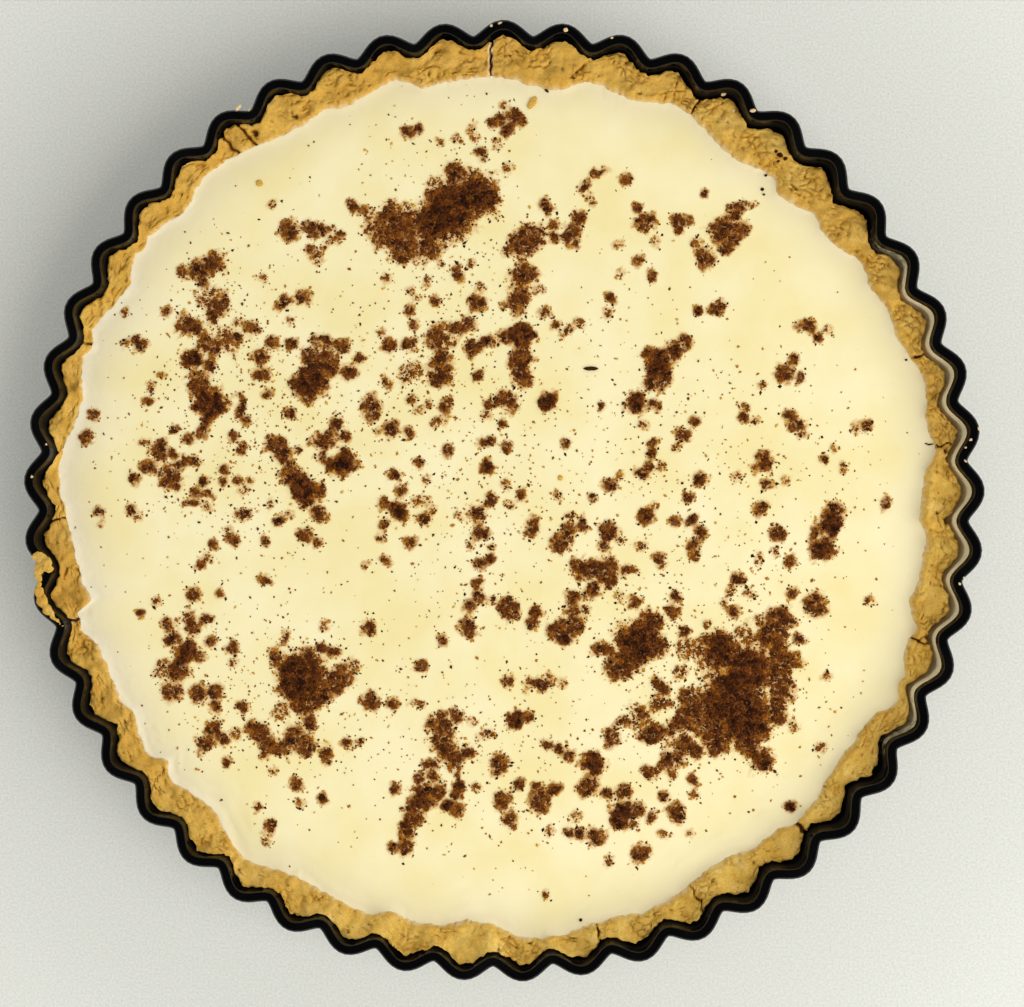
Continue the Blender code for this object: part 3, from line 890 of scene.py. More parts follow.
# Each patch is x, y and radius in mm, or x, y, half length, half width and turn in degrees.
CINNAMON_PATCHES = {
    Cover.HEAPED: (
        (-18, 83, 8, 5, 15), (-85.5, 29, 4.6), (-58, 4, 3.6), (-56, 34.5, 4.6), (-46, 11.5, 3.3),
        (-29, -3, 2.8), (7, 49, 3.6), (46, 40, 3.8), (40, 29, 2.8), (42, -41, 6), (72, -50, 6.2),
        (68, -58, 7.6), (72, -64, 6.4), (64, -44, 4.4), (97, -7, 3.3), (94.5, -14, 3.3),
        (36, -93, 3.8), (-91, 42, 2.6), (5, -64, 3.4, 2.2, 0), (9, -64, 1), (2, 109, 1.7),
        (41, 86, 1), (58.5, 55.7, 1.1), (33, 59.5, 1.1), (19.5, -40.5, 1.8), (43, -4.5, 1.7),
        (-3, 10, 1.6), (-2.8, -17.3, 0.9), (-15, -89.5, 1.3), (-12, -84, 4, 1, 85),
        (85, -89.5, 1.8), (-52, -43.5, 1.3), (-106, -33.3, 0.8), (13.5, 29.5, 2.6),
        (-58, -53, 6.8), (-7, 90, 5.4), (-14, 86, 6.6), (28, -77.5, 2.8), (-93, -45, 3.2),
        (77, -76, 2.8), (24, 82.5, 1.2), (-23, -88, 2.8),
    ),
    Cover.FULL: (
        # The top.
        (-7, 90, 7), (-13, 97, 3), (-14, 86, 9), (-32, 81, 8, 6, 20), (-28, 75, 4.6),
        (-20, 75, 4), (-43.5, 87, 1.8), (-40, 85.5, 1.6), (-62, 80, 2.8), (-54, 81, 4, 1.6, 0),
        (8, 76.5, 6.5, 3.8, 35), (7, 66.5, 3.8), (6, 59.5, 3.8), (2, 48, 2.4), (7, 41, 3.6),
        (7, 37, 2.8), (16, 81, 1.3), (16, 77.5, 1.2), (13.5, 55.5, 1.3), (16.5, 51.5, 1.1),
        (4, 113, 2.4), (0, 112.5, 1.8), (-2, 111.5, 1.4), (6.5, 112, 1.4), (-27, 108.5, 1.7),
        (-24, 110, 1.4), (-5, 102.2, 1.5), (14, 86.5, 2), (-12, 66.8, 1.8), (-7, 58, 2.4),
        (-11, 52, 3.4, 2, 20), (-26.5, 56, 1.2), (-18.5, 58.5, 1.2), (-25, 52.5, 1.3),
        (29, 96, 2.6, 1.5, 10), (37.5, 94.5, 1.6), (25, 92, 1.7), (23.5, 82.5, 1.9),
        (21, 78, 3.5, 1.9, 20), (43, 81, 2.5), (53, 82, 1.9), (53, 79, 1.2), (56, 82, 1.2),
        (64, 56.5, 2.1), (41, 70.5, 1.3), (45, 66, 1.4), (60.5, 89.7, 1), (65.5, 78, 4.6),
        (70, 84.5, 4.5, 1.4, 30), (70.5, 78.5, 2.3), (66, 73.5, 1.9), (60, 71, 2.3),
        # The upper left.
        (-87, 70, 5.5, 3, 20), (-88, 65.5, 1.6), (-94, 68, 1.4), (-83, 57, 5.5, 2.6, 60),
        (-92, 52, 3.5, 2.4, 0), (-64, 58.5, 2.2), (-58.5, 60, 2), (-87, 47, 2.8), (-84, 46.5, 2.6),
        (-86, 40, 1.9), (-89, 34, 3.6), (-86, 25, 2.8), (-77.5, 48.5, 1.4), (-73, 51.5, 1.8),
        (-71, 42.5, 2.6), (-70, 37, 2.5, 1.5, 0), (-67, 47, 1.7), (-61, 46.5, 1.4),
        (-76, 28.5, 3, 1.4, 85), (-75, 24, 1.2), (-54, 42, 4), (-51, 39, 3.2), (-52, 47.5, 3.4, 1, 0),
        (-47, 46, 1.9), (-44.5, 38, 1.9), (-41, 42, 1.5), (-100, 37, 2, 1, 0), (-104, 29, 1.2),
        (-106, 45.5, 1.8), (-108, 48, 1.2), (-120.5, 25.5, 1.7), (-122.5, 19, 1.8),
        (-62, 26, 1.4), (-68.5, 31.5, 1.2), (-56, 74.5, 1.2), (-47, 79, 1.2), (-99, 56, 1.1),
        # The left.
        (-101.5, 15, 3), (-97.5, 6.5, 3.2), (-104, 9.5, 2.5, 1.4, 0), (-109, 6.5, 1.5),
        (-93, 11, 4, 1.4, 10), (-97, 14, 1.3), (-92, 18.5, 1.4), (-88, 20.5, 1.7), (-96, 21, 1.1),
        (-88, 5.5, 1.3), (-87, 1.5, 2.4, 1, 0), (-91, -0.5, 2, 0.8, 0), (-82, 5.5, 1.1),
        (-82, 9, 1.2), (-76, 15.5, 1.8), (-79, 19, 1.2), (-77.5, 6, 1.1), (-76, -4, 2.5, 1.7, 0),
        (-79, -11.5, 1.8), (-69, -12, 1.5), (-57.5, -10, 2.2), (-54, -12.5, 1.2), (-65, -6, 1.2),
        (-119, -3, 1.3), (-109, -3, 1.3), (-66, 17, 2.8), (-64, 14, 2.3), (-62, 8, 3),
        (-54, 3, 2.8), (-57, -0.5, 1.9), (-53, -4, 2.1), (-85, -13, 1.1), (-90, 2.5, 1.2),
        # The middle.
        (-32.5, 45.5, 1.9), (-26.5, 46, 3, 1.7, 40), (-18, 48, 3.2), (-17, 42, 2.8),
        (-17, 37, 3.2), (-10, 52, 2.3), (-7, 45, 2.3), (-4, 47, 1.9), (-6, 37, 1.5), (-37, 25, 1.6),
        (-38, 28, 2.8), (-48, 22.5, 1.7), (-15, 28, 1.9), (2.5, 29, 2.8), (-2.5, 28, 1.8),
        (-31.5, 21, 2), (-26.5, 20, 1.3), (-51, 18, 4, 1.5, 20), (-45, 18.5, 1.5), (-52, 13, 1.7),
        (-15, 15, 1.4), (-3, 17.5, 2.5, 1.5, 0), (2.5, 15.5, 1.5), (19.5, 17, 1.4), (-23.5, 11, 1.2),
        (-31, 7.5, 1.5), (-28.5, 3, 1.5), (-34, -1, 1.9), (-22, -5, 1.9), (-34, -7, 1.4),
        (-26.5, -12, 1.4), (-34, -17.5, 1.5, 1, 0), (-6, -4, 2.4), (-5.5, -9.5, 1.9),
        (-2.5, 0, 1.5), (6.5, 2, 1.5), (-5.5, -18.5, 1.7), (-6, -24, 1.5), (-6, -28, 1.8),
        (-9, -31.5, 1.8), (-8.5, -37.5, 2.6), (1, 22.5, 1.2),
        # The right.
        (51, 44, 2.4), (54.5, 46.5, 1.9), (48, 35.5, 2.4), (44, 35, 1.9), (46, 28.5, 1.7),
        (57, 23, 1.4), (54, 19, 1.7), (45, 17, 1.3), (45, 14, 1.5), (44, 10.5, 1.4), (42, 8, 1.5),
        (32.5, 5, 1.9), (27.3, 1, 1.2), (59, 6.5, 2.2), (55.5, 1.2, 1.3), (10, -7, 2.5, 1.5, 80),
        (90, 50.5, 2.1), (93.5, 48, 1.2), (83, 37.5, 2.2), (86.5, 41, 1.5), (88, 36, 1.4),
        (71.5, 24, 1.3), (85.5, 25, 1.5), (87, 22, 1.9), (107.5, 22, 1.4), (78, 11, 2.4),
        (78, 5, 1.3), (95, 12, 1), (77, -2, 1.7), (82, -9.5, 2.2), (85, -18, 1.5), (98, -3, 2.4),
        (113, -0.7, 1.8), (56.5, -5.5, 1.7), (59, -9.5, 1.7), (57, -13, 1.6), (57.5, -16, 1.6),
        (51.5, -6, 1.5), (24.5, -7, 2.1), (20, -8.5, 1.9), (18, -12.5, 2.7), (32.5, -9, 2.7),
        (31, -13.5, 1.5), (47, -17, 1.5), (92, -9, 3, 1, 60),
        # The lower right.
        (23, -18.5, 1.9), (26, -19.5, 3.2), (31, -20.5, 3.2), (33, -23.5, 2.4), (27, -26, 2.3),
        (22, -28, 1.9), (3, -32, 2.6), (9.5, -36, 1.8), (11, -32.5, 1.8), (17, -37.5, 2.8),
        (22.5, -37, 2.8), (21, -32.5, 1.5), (30.5, -43.5, 2.7), (36, -47, 4.2), (44, -36.5, 3.6),
        (35, -50, 2.3), (42, -41, 7), (12, -54.5, 4, 1.9, 10), (2.7, -53, 1.5), (64, -43.5, 5),
        (72, -50, 7), (68, -58, 8.6), (72, -64, 7.4), (64, -66, 4.8), (73, -69, 3.5),
        (77, -76, 3.5), (78, -40, 4.2), (81, -35, 3.8), (85, -35, 2), (82, -46, 3.4), (87, -46.5, 1.9),
        (83, -55, 3.3), (81, -62, 2.4), (52, -65, 2.3), (47, -68, 4, 1.9, 10), (54, -72, 3.3),
        (50, -77, 2.4), (47.5, -54.5, 2.2), (54.5, -38, 1.5), (68.5, -32, 1.5), (69.7, -23, 1.8),
        (85.5, -27, 1.3), (92.5, -30.5, 2.7), (88, -40.5, 1.4), (52, -28, 1.3), (51, -32, 1.6),
        (40, -29.5, 1.6), (33, -69, 2.8), (36.5, -64.5, 2, 1.2, 45), (28, -77.5, 3.4), (26.5, -84, 3),
        (37, -85, 2.2), (32, -86, 1.5), (40, -91, 1.9), (20.5, -97.5, 1.6), (24, -98, 1.5),
        (28.5, -99, 2.1), (13.5, -71.5, 2, 1.1, 0), (17.5, -73, 1.5), (20.5, -75, 1.5),
        (-0.5, -77.5, 2.2), (6, -83.5, 1.5), (1, -88, 2.4), (12, -84, 1.5), (12.5, -88.5, 2.7),
        (16.5, -85, 1.7), (3, -93.5, 1.7), (57, -82, 1.5), (52, -91.5, 2.3), (45, -93, 1.4),
        (42, -103.5, 2.1), (48.5, -86.5, 1.3), (38, -20.5, 2.2, 1, 0), (64.6, -42.4, 4.1),
        (69.5, -44.3, 3.2), (81.9, -34.1, 3.4), (79.7, -39.8, 4.9), (82.7, -45.5, 3.4),
        (79.7, -50, 4.1), (83.1, -50, 2.6), (82.3, -59, 2.6), (82.3, -63.2, 2.1),
        (70.6, -59.8, 8.7), (57.2, -59, 4), (55.5, -62.8, 3.6), (60.1, -63.2, 4.1), (53, -64.3, 1.9),
        (46.5, -68.5, 4.2, 2.5, 0), (57.4, -73, 2), (51, -75.6, 2.8), (48.4, -77.5, 1.7),
        (43.5, -79.4, 1.9), (64, -72, 2.6), (64.6, -69.2, 3.8), (72.9, -70, 3.8), (74.4, -73.4, 2),
        (78.2, -75.6, 3.4), (50.6, -31.9, 1.7), (41.3, -62, 2), (42.7, -69.2, 1.9),
        # The lower left.
        (-91, -36, 3.2), (-93, -45, 3.8), (-95, -50, 2.8), (-97, -56, 2.8), (-98, -36.5, 1.7),
        (-97, -41, 2.1), (-86.5, -35, 1.3), (-85.5, -41.5, 1.5), (-89, -46, 1.9), (-89, -57.5, 2.4),
        (-84, -57, 2.1), (-84, -61, 1.5), (-79, -43.5, 1.6), (-90.5, -28, 1.7), (-88.5, -18.5, 1.2),
        (-82.5, -27.5, 1.3), (-69, -23.5, 2, 1.2, 0), (-58, -53, 8), (-53, -57, 4.8),
        (-59, -61, 3.3), (-66, -46, 2.4), (-47, -53, 3.6), (-56, -45.5, 1.6), (-49, -44.5, 1.5),
        (-85, -67, 2.8), (-87, -72, 2.8), (-82, -70.5, 1.9), (-72, -68, 3.3), (-68, -73, 3.8),
        (-64, -73, 2.8), (-61, -69, 2.6), (-55.5, -66, 2.1), (-57, -72, 2.8), (-51, -75, 2.3),
        (-76, -61, 1.8), (-45, -71.5, 1.5), (-81, -77.5, 1.2), (-60, -83.5, 1.7), (-52, -88, 1.2),
        (-67.5, -96, 2.6, 2, 90), (-38.5, -37.5, 2.4), (-38, -59, 2.6), (-31, -59.5, 1.5),
        (-22.5, -48.5, 1.7), (-16.5, -41.3, 1.2), (-17, -66, 3.1), (-16, -72, 3.8), (-13, -76, 2.8),
        (-12, -63, 1.9), (-9, -74, 2.4), (-20, -78, 1.9), (-19, -81, 1.3), (-13, -91, 1.8),
        (-19, -86, 2.8), (-23, -88, 3.4), (-26, -93, 3.4), (-27, -97, 2.4), (-27.5, -102, 2.3),
        (-23, -82, 1.7), (-30.5, -85, 1.4), (-31.5, -102.5, 1.3),
    ),
    Cover.THIN: (
        (-50, 76.5, 3, 2, 20), (-54, 72, 2), (19, 77, 1.2), (12, 62, 1.4), (20, 49, 2.4, 1.2, 60),
        (-17, 105.5, 1.2), (-12, 107, 1.2), (-8, 110, 1.2), (-7, 107.5, 1.1), (-1, 105.5, 1.2),
        (2.5, 97.5, 1.2), (1.5, 116.5, 1.1), (-17, 69.8, 1.3), (-8, 69.5, 1.2), (-5.5, 63, 1.2),
        (-24, 60, 1.3), (-26, 62, 1.2), (-33, 65.5, 1.2), (-21, 64.5, 1.3), (27, 88, 1.2),
        (35, 75, 1.2), (46, 76, 1.1), (35.5, 66.5, 1.2), (32, 55, 1.2), (24, 52, 1.6), (58, 75, 1.4),
        (-70, 66, 1.3), (-67, 88, 1.2), (-53, 73, 1.4), (-111, 56, 1.2), (-111, 47, 1.2),
        (-85, 42, 1.4), (-77, 53, 1.2), (-62, 53, 1.2), (-103.5, 33.5, 1.2), (-105, 17, 1.3),
        (-86.5, -2, 1.2), (-73.5, 6, 1), (-75.5, 3, 1.1), (-80, -9, 1.2), (-62, -4.5, 1.2),
        (-68, -1, 1.2), (-118.5, -7, 1), (-107, -5, 1.1), (-59, 15, 1.2), (-35, 49.5, 1.2),
        (-14, 46.5, 2.2), (-16, 51.5, 1.6), (-1, 47, 1.4), (-25, 38, 4, 3, 20), (-33, 35, 1.6),
        (-26, 30, 1.4), (-21, 28.5, 1.3), (-24, 26.5, 1.2), (-17, 23, 3, 1.2, 30), (-4, 25, 1.2),
        (-36, 20, 1.2), (-21, 6.5, 1.2), (-19.5, -3, 1.3), (-24, 0, 1.2), (-21, 0, 1.2),
        (-35, -11, 1.1), (-39, -19, 1.2), (1.5, 5, 1.2), (3, -1, 1.2), (-11.5, -4, 1.2),
        (-8.5, -13, 1.1), (-2.5, -14, 1), (-2, -29, 1.2), (37, 28, 1.4), (30, 28, 1.2),
        (42, 22.5, 1.3), (52, 15.5, 1.2), (48, 10.3, 1.2), (35.5, 6.8, 1.2), (45, -1.5, 1.1),
        (19, -10.5, 2.6), (17, 1.5, 1.2), (21, -4, 1.1), (96, 50, 1.2), (77, 33.5, 1.2), (72, 27, 1.1),
        (75.5, 23, 1.1), (88.5, 19, 1.1), (104, 21.5, 1.2), (75, 9.5, 1.3), (98, 15.5, 1.1),
        (83.5, 6, 1.1), (100.5, 9.5, 1.1), (70, 7, 1.1), (81, -15, 1.2), (76, -17.5, 2, 1, 90),
        (36, -11.5, 1.3), (41.5, -13, 1.3), (48, -19, 1.2), (25, -32, 1.5), (15, -52, 1.5),
        (18.5, -53.5, 1.2), (56, -44, 3.4), (57, -62, 3.4), (47, -59.5, 3, 1.2, 0), (41, -63, 4),
        (45, -79.5, 3, 1.2, 0), (61, -36, 1.3), (66, -30.5, 1.3), (68, -26.5, 1.3), (73, -27, 1.2),
        (108, -29, 1.2), (96, -51, 1.2), (94.3, -72, 1.2), (86, -65.5, 1.3), (35.5, -28.5, 1.3),
        (22.5, -92.5, 1.3), (15, -97, 1.2), (32.5, -105.5, 1.3), (14, -115.7, 1.1),
        (-6.5, -84, 1.2), (4, -96, 1.2), (57, -86, 1.2), (48.5, -98, 1.6, 0.9, 0), (56, -97.5, 1.2),
        (-78.5, -48, 1.2), (-86.5, -17, 1.2), (-102, -30, 1.2), (-63, -41, 1.8), (-51.5, -37, 1.2),
        (-78, -69, 1.6), (-65, -63, 2.4), (-67, -80.3, 1.5, 0.8, 0), (-58.5, -89.3, 1.2),
        (-69, -100.5, 1.2), (-71, -90.5, 1.1), (-24, -60, 2.4, 1, 150), (-15.5, -70, 4.4),
        (-4, -69, 2.5, 1.2, 0), (-8, -65, 1.2), (-41, -71.5, 1.2), (-43, -49, 2), (-80, 47, 4),
        (-100, -50, 2.4), (-86, 60, 3.4), (57, -43.6, 3.8), (71.4, -37.9, 2.4), (73.3, -40.9, 2.3),
        (76.3, -34.5, 1.6), (59.3, -47.7, 2.4), (63.1, -50.7, 2.8), (52.9, -50, 1.7),
        (50.7, -80.1, 1.5), (47.3, -59, 3, 1.3, 0), (-85.7, 39.5, 1.9), (-84.6, 42.6, 1.3),
    ),
}


@dataclass
class CinnamonLayout:
    """Where the dusting lies: patches as wide as a pinch lands, broken up at their edges."""

    soft_edge: float = 0.42
    spread: float = 0.98
    fine_drift: float = 1.5 * MM
    fine_size: float = 1.5 * MM
    coarse_drift: float = 2.4 * MM
    coarse_size: float = 4.2 * MM

    @staticmethod
    def patches() -> list[tuple[float, float, float, float, float, float]]:
        """Return every patch as x, y, half length, half width, turn and cover."""
        rows = []
        for cover, group in CINNAMON_PATCHES.items():
            for x, y, length, *rest in group:
                width, turn = rest if rest else (length, 0)
                rows.append((x * MM, y * MM, length * MM, width * MM, math.radians(turn),
                             cover.value))
        return rows

    def drift(self, x: np.ndarray, y: np.ndarray) -> list[np.ndarray]:
        """Return how far places x, y are shifted, unevenly, so that patches lose roundness."""
        flat = on_plane(x, y)
        return [self.fine_drift * noise_at(flat, self.fine_size, seed)
                + self.coarse_drift * noise_at(flat, self.coarse_size, seed + 0.5)
                for seed in (3.0, 31.0)]

    def cover(self, x: np.ndarray, y: np.ndarray, halo: float = 0.0) -> np.ndarray:
        """Return how thickly cinnamon lies at places, 0 where there is none.

        Args:
            x: the places' first coordinates.
            y: their second coordinates.
            halo: how far the patches are widened.
        """
        shift_x, shift_y = self.drift(x, y)
        depth = np.zeros_like(x)
        for mid_x, mid_y, length, width, turn, cover in self.patches():
            window = 1.6 * (length + halo)
            near = np.flatnonzero((np.abs(x - mid_x) < window) & (np.abs(y - mid_y) < window))
            loose = min(1.0, (length + halo) / self.coarse_size)
            dx = x[near] + loose * shift_x[near] - mid_x
            dy = y[near] + loose * shift_y[near] - mid_y
            along = (dx * math.cos(turn) + dy * math.sin(turn)) / (length * self.spread + halo)
            across = (dy * math.cos(turn) - dx * math.sin(turn)) / (width * self.spread + halo)
            here = cover * (1 - smooth_step(1 - self.soft_edge, 1 + self.soft_edge,
                                            np.hypot(along, across)))
            depth[near] = np.maximum(depth[near], here)
        return depth


# ------------------------------
# The custard
# ------------------------------

@dataclass
class CustardFilling:
    """The baked custard: a skin with soft ripples, drawn up a little at the crust."""

    case: PastryCase
    level: CustardLevel
    layout: CinnamonLayout
    cells: int = 304
    middle: float = 126.0 * MM
    tuck: float = 0.3 * MM
    meniscus: float = 0.5 * MM
    meniscus_width: float = 1.3 * MM
    drift_height: float = 0.5 * MM
    crust_shade_width: float = 9.0 * MM
    stain_reach: float = 0.7 * MM
    bottom_band: float = 7 * MM
    left_band: float = 5 * MM
    edge_ripple: float = 0.35 * MM
    froth: float = 0.2 * MM
    fine_ripple: float = 0.05 * MM

    def skin(self, x: np.ndarray, y: np.ndarray) -> tuple[np.ndarray, dict[str, np.ndarray]]:
        """Return the skin's height, and what its material reads.

        Args:
            x: places along X.
            y: places along Y.

        Returns:
            The heights, and the cover, the painted shade along the crust (rim) and the foam at
            each place.
        """
        flat = on_plane(x, y)
        angle, radius = np.arctan2(y, x), np.hypot(x, y)
        inward = self.case.inside(angle) - radius
        cover = self.layout.cover(x, y)
        around = ring_points(np.full_like(angle, self.level.reach / 3), angle, inward)
        bottom = smooth_step(0.3, 0.8, -np.sin(angle)) * np.exp(-np.abs(inward) / self.bottom_band)
        left = smooth_step(0.55, 0.95, -np.cos(angle)) * np.exp(-np.abs(inward) / self.left_band)
        height = (self.level.height(x, y)
                  + self.meniscus * np.exp(-np.maximum(0, inward) / self.meniscus_width)
                  + self.drift_height * cover * (0.7 + 0.6 * noise_at(flat, 2.2 * MM))
                  + self.edge_ripple * bottom * noise_at(around, 2.6 * MM, 6.0)
                  + self.froth * left * noise_at(flat, 1.6 * MM)
                  + self.fine_ripple * noise_at(flat, 5.0 * MM, 12.0))
        # Painted shade along the crust, fading inwards.
        near = np.maximum(0, inward) / self.crust_shade_width
        rim = 0.5 * np.exp(-near ** 1.5) + 0.45 * np.exp(-(2.8 * near) ** 2)
        return height, {"cover": cover, "rim": rim, "foam": left}

    def build(self, custard: bpy.types.Material) -> bpy.types.Object:
        """Build the skin from a square grid drawn out to a round, then give it its body."""
        item = add_grid("baked_custard", self.cells, self.cells)
        u, v = 2 * coordinates(item)[:, :2].T
        x, y = u * np.sqrt(1 - v ** 2 / 2), v * np.sqrt(1 - u ** 2 / 2)
        angle, share = np.arctan2(y, x), np.hypot(x, y)
        edge = self.case.inside(angle) + self.tuck
        radius = self.middle * share + (edge - self.middle) * share ** 8
        x, y = radius * np.cos(angle), radius * np.sin(angle)
        height, fields = self.skin(x, y)
        fields["cover"] = self.layout.cover(x, y, self.stain_reach)
        move_vertices(item, np.stack([x, y, height], axis=1))
        for name, values in fields.items():
            set_attribute(item, name, values)
        floor = self.case.tin.sheet + 2 * self.case.gap + self.case.base
        narrower = 1 - (self.case.taper + 2 * self.tuck) / self.middle
        with edit_mode(item):
            bpy.ops.mesh.select_non_manifold()
            bpy.ops.mesh.extrude_edges_move()
            bpy.ops.transform.resize(value=(narrower, narrower, 0), center_override=(0, 0, floor))
            bpy.ops.mesh.edge_face_add()
            bpy.ops.mesh.select_all(action="SELECT")
            bpy.ops.mesh.normals_make_consistent(inside=False)
        shade_smooth(item, 60)
        dress(item, Slot.CUSTARD, custard, "custard_filling")
        return item


# ------------------------------
# The cinnamon's grains
# ------------------------------

# Fields of loose specks: x, y and reach in mm, and how many specks.
SPECK_FIELDS = (
    (-80, 20, 30, 1050), (-20, 40, 34, 800), (0, -8, 30, 600), (45, 20, 34, 400),
    (62, -48, 30, 1000), (-65, -55, 30, 700), (-5, -78, 30, 500), (-20, 88, 26, 350),
    (-82, 60, 18, 250), (85, 10, 28, 250), (0, 0, 95, 700),
)


@dataclass(frozen=True)
class GrainKind:
    """A kind of grain: its sizes, how brown and how flat it is, and how it is strewn.

    It is tried at many places over the custard, stays where the cover is thick enough, and
    reaches past the patches by its halo. A kind with no tries lies loose in the fields.
    """

    name: str
    smallest: float
    largest: float
    tone: float
    tone_spread: float
    flatness: float = 0.6
    tries: int = 0
    thinnest: float = 0.0
    limit: int = 0
    halo: float = 0.0


GRAIN_KINDS = (
    GrainKind("cinnamon_powder", 0.28 * MM, 0.8 * MM, 0.86, 0.12,
              tries=200000, thinnest=0.34, limit=24500),
    GrainKind("cinnamon_clumps", 0.6 * MM, 1.6 * MM, 0.78, 0.09, 0.5,
              tries=120000, thinnest=0.55, limit=14000),
    GrainKind("cinnamon_fringe", 0.35 * MM, 1.15 * MM, 0.84, 0.1,
              tries=90000, thinnest=0.46, limit=12000, halo=0.8 * MM),
    GrainKind("cinnamon_specks", 0.3 * MM, 1.05 * MM, 0.7, 0.24),
    GrainKind("bark_fragments", 0.4 * MM, 1.1 * MM, 0.12, 0.1, 0.45,
              tries=22000, thinnest=0.2, limit=2600, halo=1.0 * MM),
)

# A grain's six corners and its eight faces.
GRAIN_CORNERS = np.array([(1, 0, 0), (0, 1, 0), (-1, 0, 0), (0, -1, 0), (0, 0, 1), (0, 0, -1)])
GRAIN_FACES = np.array([(0, 1, 4), (1, 2, 4), (2, 3, 4), (3, 0, 4), (1, 0, 5), (2, 1, 5),
                        (3, 2, 5), (0, 3, 5)])


@dataclass
class CinnamonDusting:
    """The cinnamon itself, grain by grain, heaped in patches and loose between them."""

    layout: CinnamonLayout
    filling: CustardFilling
    reach: float = 126.0 * MM
    tuft: float = 1.3 * MM
    rng: np.random.Generator = field(default_factory=lambda: np.random.default_rng(7))
    faintest: float = 0.1
    raggedness: float = 0.42
    scatter: float = 0.12
    edge_gap: float = 1.0 * MM
    field_share: float = 0.62
    size_lean: tuple[float, float] = (1.3, 2.2)
    corner_reach: tuple[float, float] = (0.62, 1.25)
    corner_shift: float = 0.12
    stretch: tuple[float, float] = (0.9, 1.6)
    lift: float = 0.1
    damp_darkening: float = 0.5
    tone_drift: float = 0.36

    def in_patches(self, kind: GrainKind) -> np.ndarray:
        """Return the places x, y where a kind of grain stays in and round the patches.

        Args:
            kind: the kind of grain.

        Returns:
            The places, strewn evenly wherever the cinnamon lies thickly enough.
        """
        angle = self.rng.uniform(0, 2 * np.pi, kind.tries)
        radius = self.reach * np.sqrt(self.rng.uniform(0, 1, kind.tries))
        places = np.stack([radius * np.cos(angle), radius * np.sin(angle)], axis=1)
        cover = self.layout.cover(*places.T, kind.halo)
        places, cover = places[cover > self.faintest], cover[cover > self.faintest]
        flat = on_plane(*places.T)
        ragged = (self.raggedness * noise_at(flat, self.tuft, 5.0)
                  + self.scatter * self.rng.normal(size=len(flat)))
        return places[cover + ragged > kind.thinnest][:kind.limit]

    def in_fields(self) -> np.ndarray:
        """Return the places x, y of the loose specks, which gather in small groups."""
        spots = [self.rng.normal((x * MM, y * MM), self.field_share * reach * MM, (count, 2))
                 for x, y, reach, count in SPECK_FIELDS]
        places = np.concatenate(spots)
        flat = on_plane(*places.T)
        gathered = noise_at(flat, 3.0 * MM, 21.0) > self.rng.uniform(-0.6, 0.35, len(places))
        return places[gathered]

    def on_skin(self, places: np.ndarray) -> np.ndarray:
        """Return only the places that lie on the custard, clear of the crust."""
        edge = self.filling.case.inside(np.arctan2(places[:, 1], places[:, 0]))
        return places[np.hypot(places[:, 0], places[:, 1]) < edge - self.edge_gap]

    def build_kind(self, kind: GrainKind, places: np.ndarray,
                   material: bpy.types.Material) -> None:
        """Build all the grains of a kind as one mesh of eight-sided bits.

        Args:
            kind: the kind of grain.
            places: where they lie.
            material: their finish.
        """
        places = self.on_skin(places)
        count = len(places)
        height, fields = self.filling.skin(*places.T)
        size = kind.smallest + (kind.largest - kind.smallest) * self.rng.beta(*self.size_lean, count)
        shape = GRAIN_CORNERS * self.rng.uniform(*self.corner_reach, (count, 6, 1))
        shape = shape + self.rng.normal(0, self.corner_shift, (count, 6, 3))
        shape[:, :, 0] *= self.rng.uniform(*self.stretch, (count, 1))
        shape[:, :, 2] *= kind.flatness
        turn = self.rng.uniform(0, 2 * np.pi, (count, 1))
        x = shape[:, :, 0] * np.cos(turn) - shape[:, :, 1] * np.sin(turn)
        y = shape[:, :, 0] * np.sin(turn) + shape[:, :, 1] * np.cos(turn)
        half = size[:, None] / 2
        points = np.stack([places[:, :1] + x * half, places[:, 1:] + y * half,
                           height[:, None] + (shape[:, :, 2] + self.lift) * half], axis=2)
        first_corners = len(GRAIN_CORNERS) * np.arange(count)[:, None, None]
        faces = (GRAIN_FACES[None] + first_corners).reshape(-1, 3)
        mesh = bpy.data.meshes.new(kind.name)
        mesh.from_pydata(points.reshape(-1, 3), [], faces)
        item = bpy.data.objects.new(kind.name, mesh)
        bpy.context.scene.collection.objects.link(item)
        flat = on_plane(*places.T)
        tone = (self.rng.normal(kind.tone, kind.tone_spread, count)
                - self.damp_darkening * fields["cover"]
                + self.tone_drift * noise_at(flat, 2.4 * MM, 11.0))
        set_attribute(item, "tone", np.repeat(np.clip(tone, 0.0, 1.0), 6))
        dress(item, Slot.CUSTARD, material)

    def build(self, cinnamon: bpy.types.Material) -> None:
        """Scatter every kind of grain."""
        for kind in GRAIN_KINDS:
            places = self.in_patches(kind) if kind.tries else self.in_fields()
            self.build_kind(kind, places, cinnamon)


# ------------------------------
# Scraps and crumbs
# ------------------------------

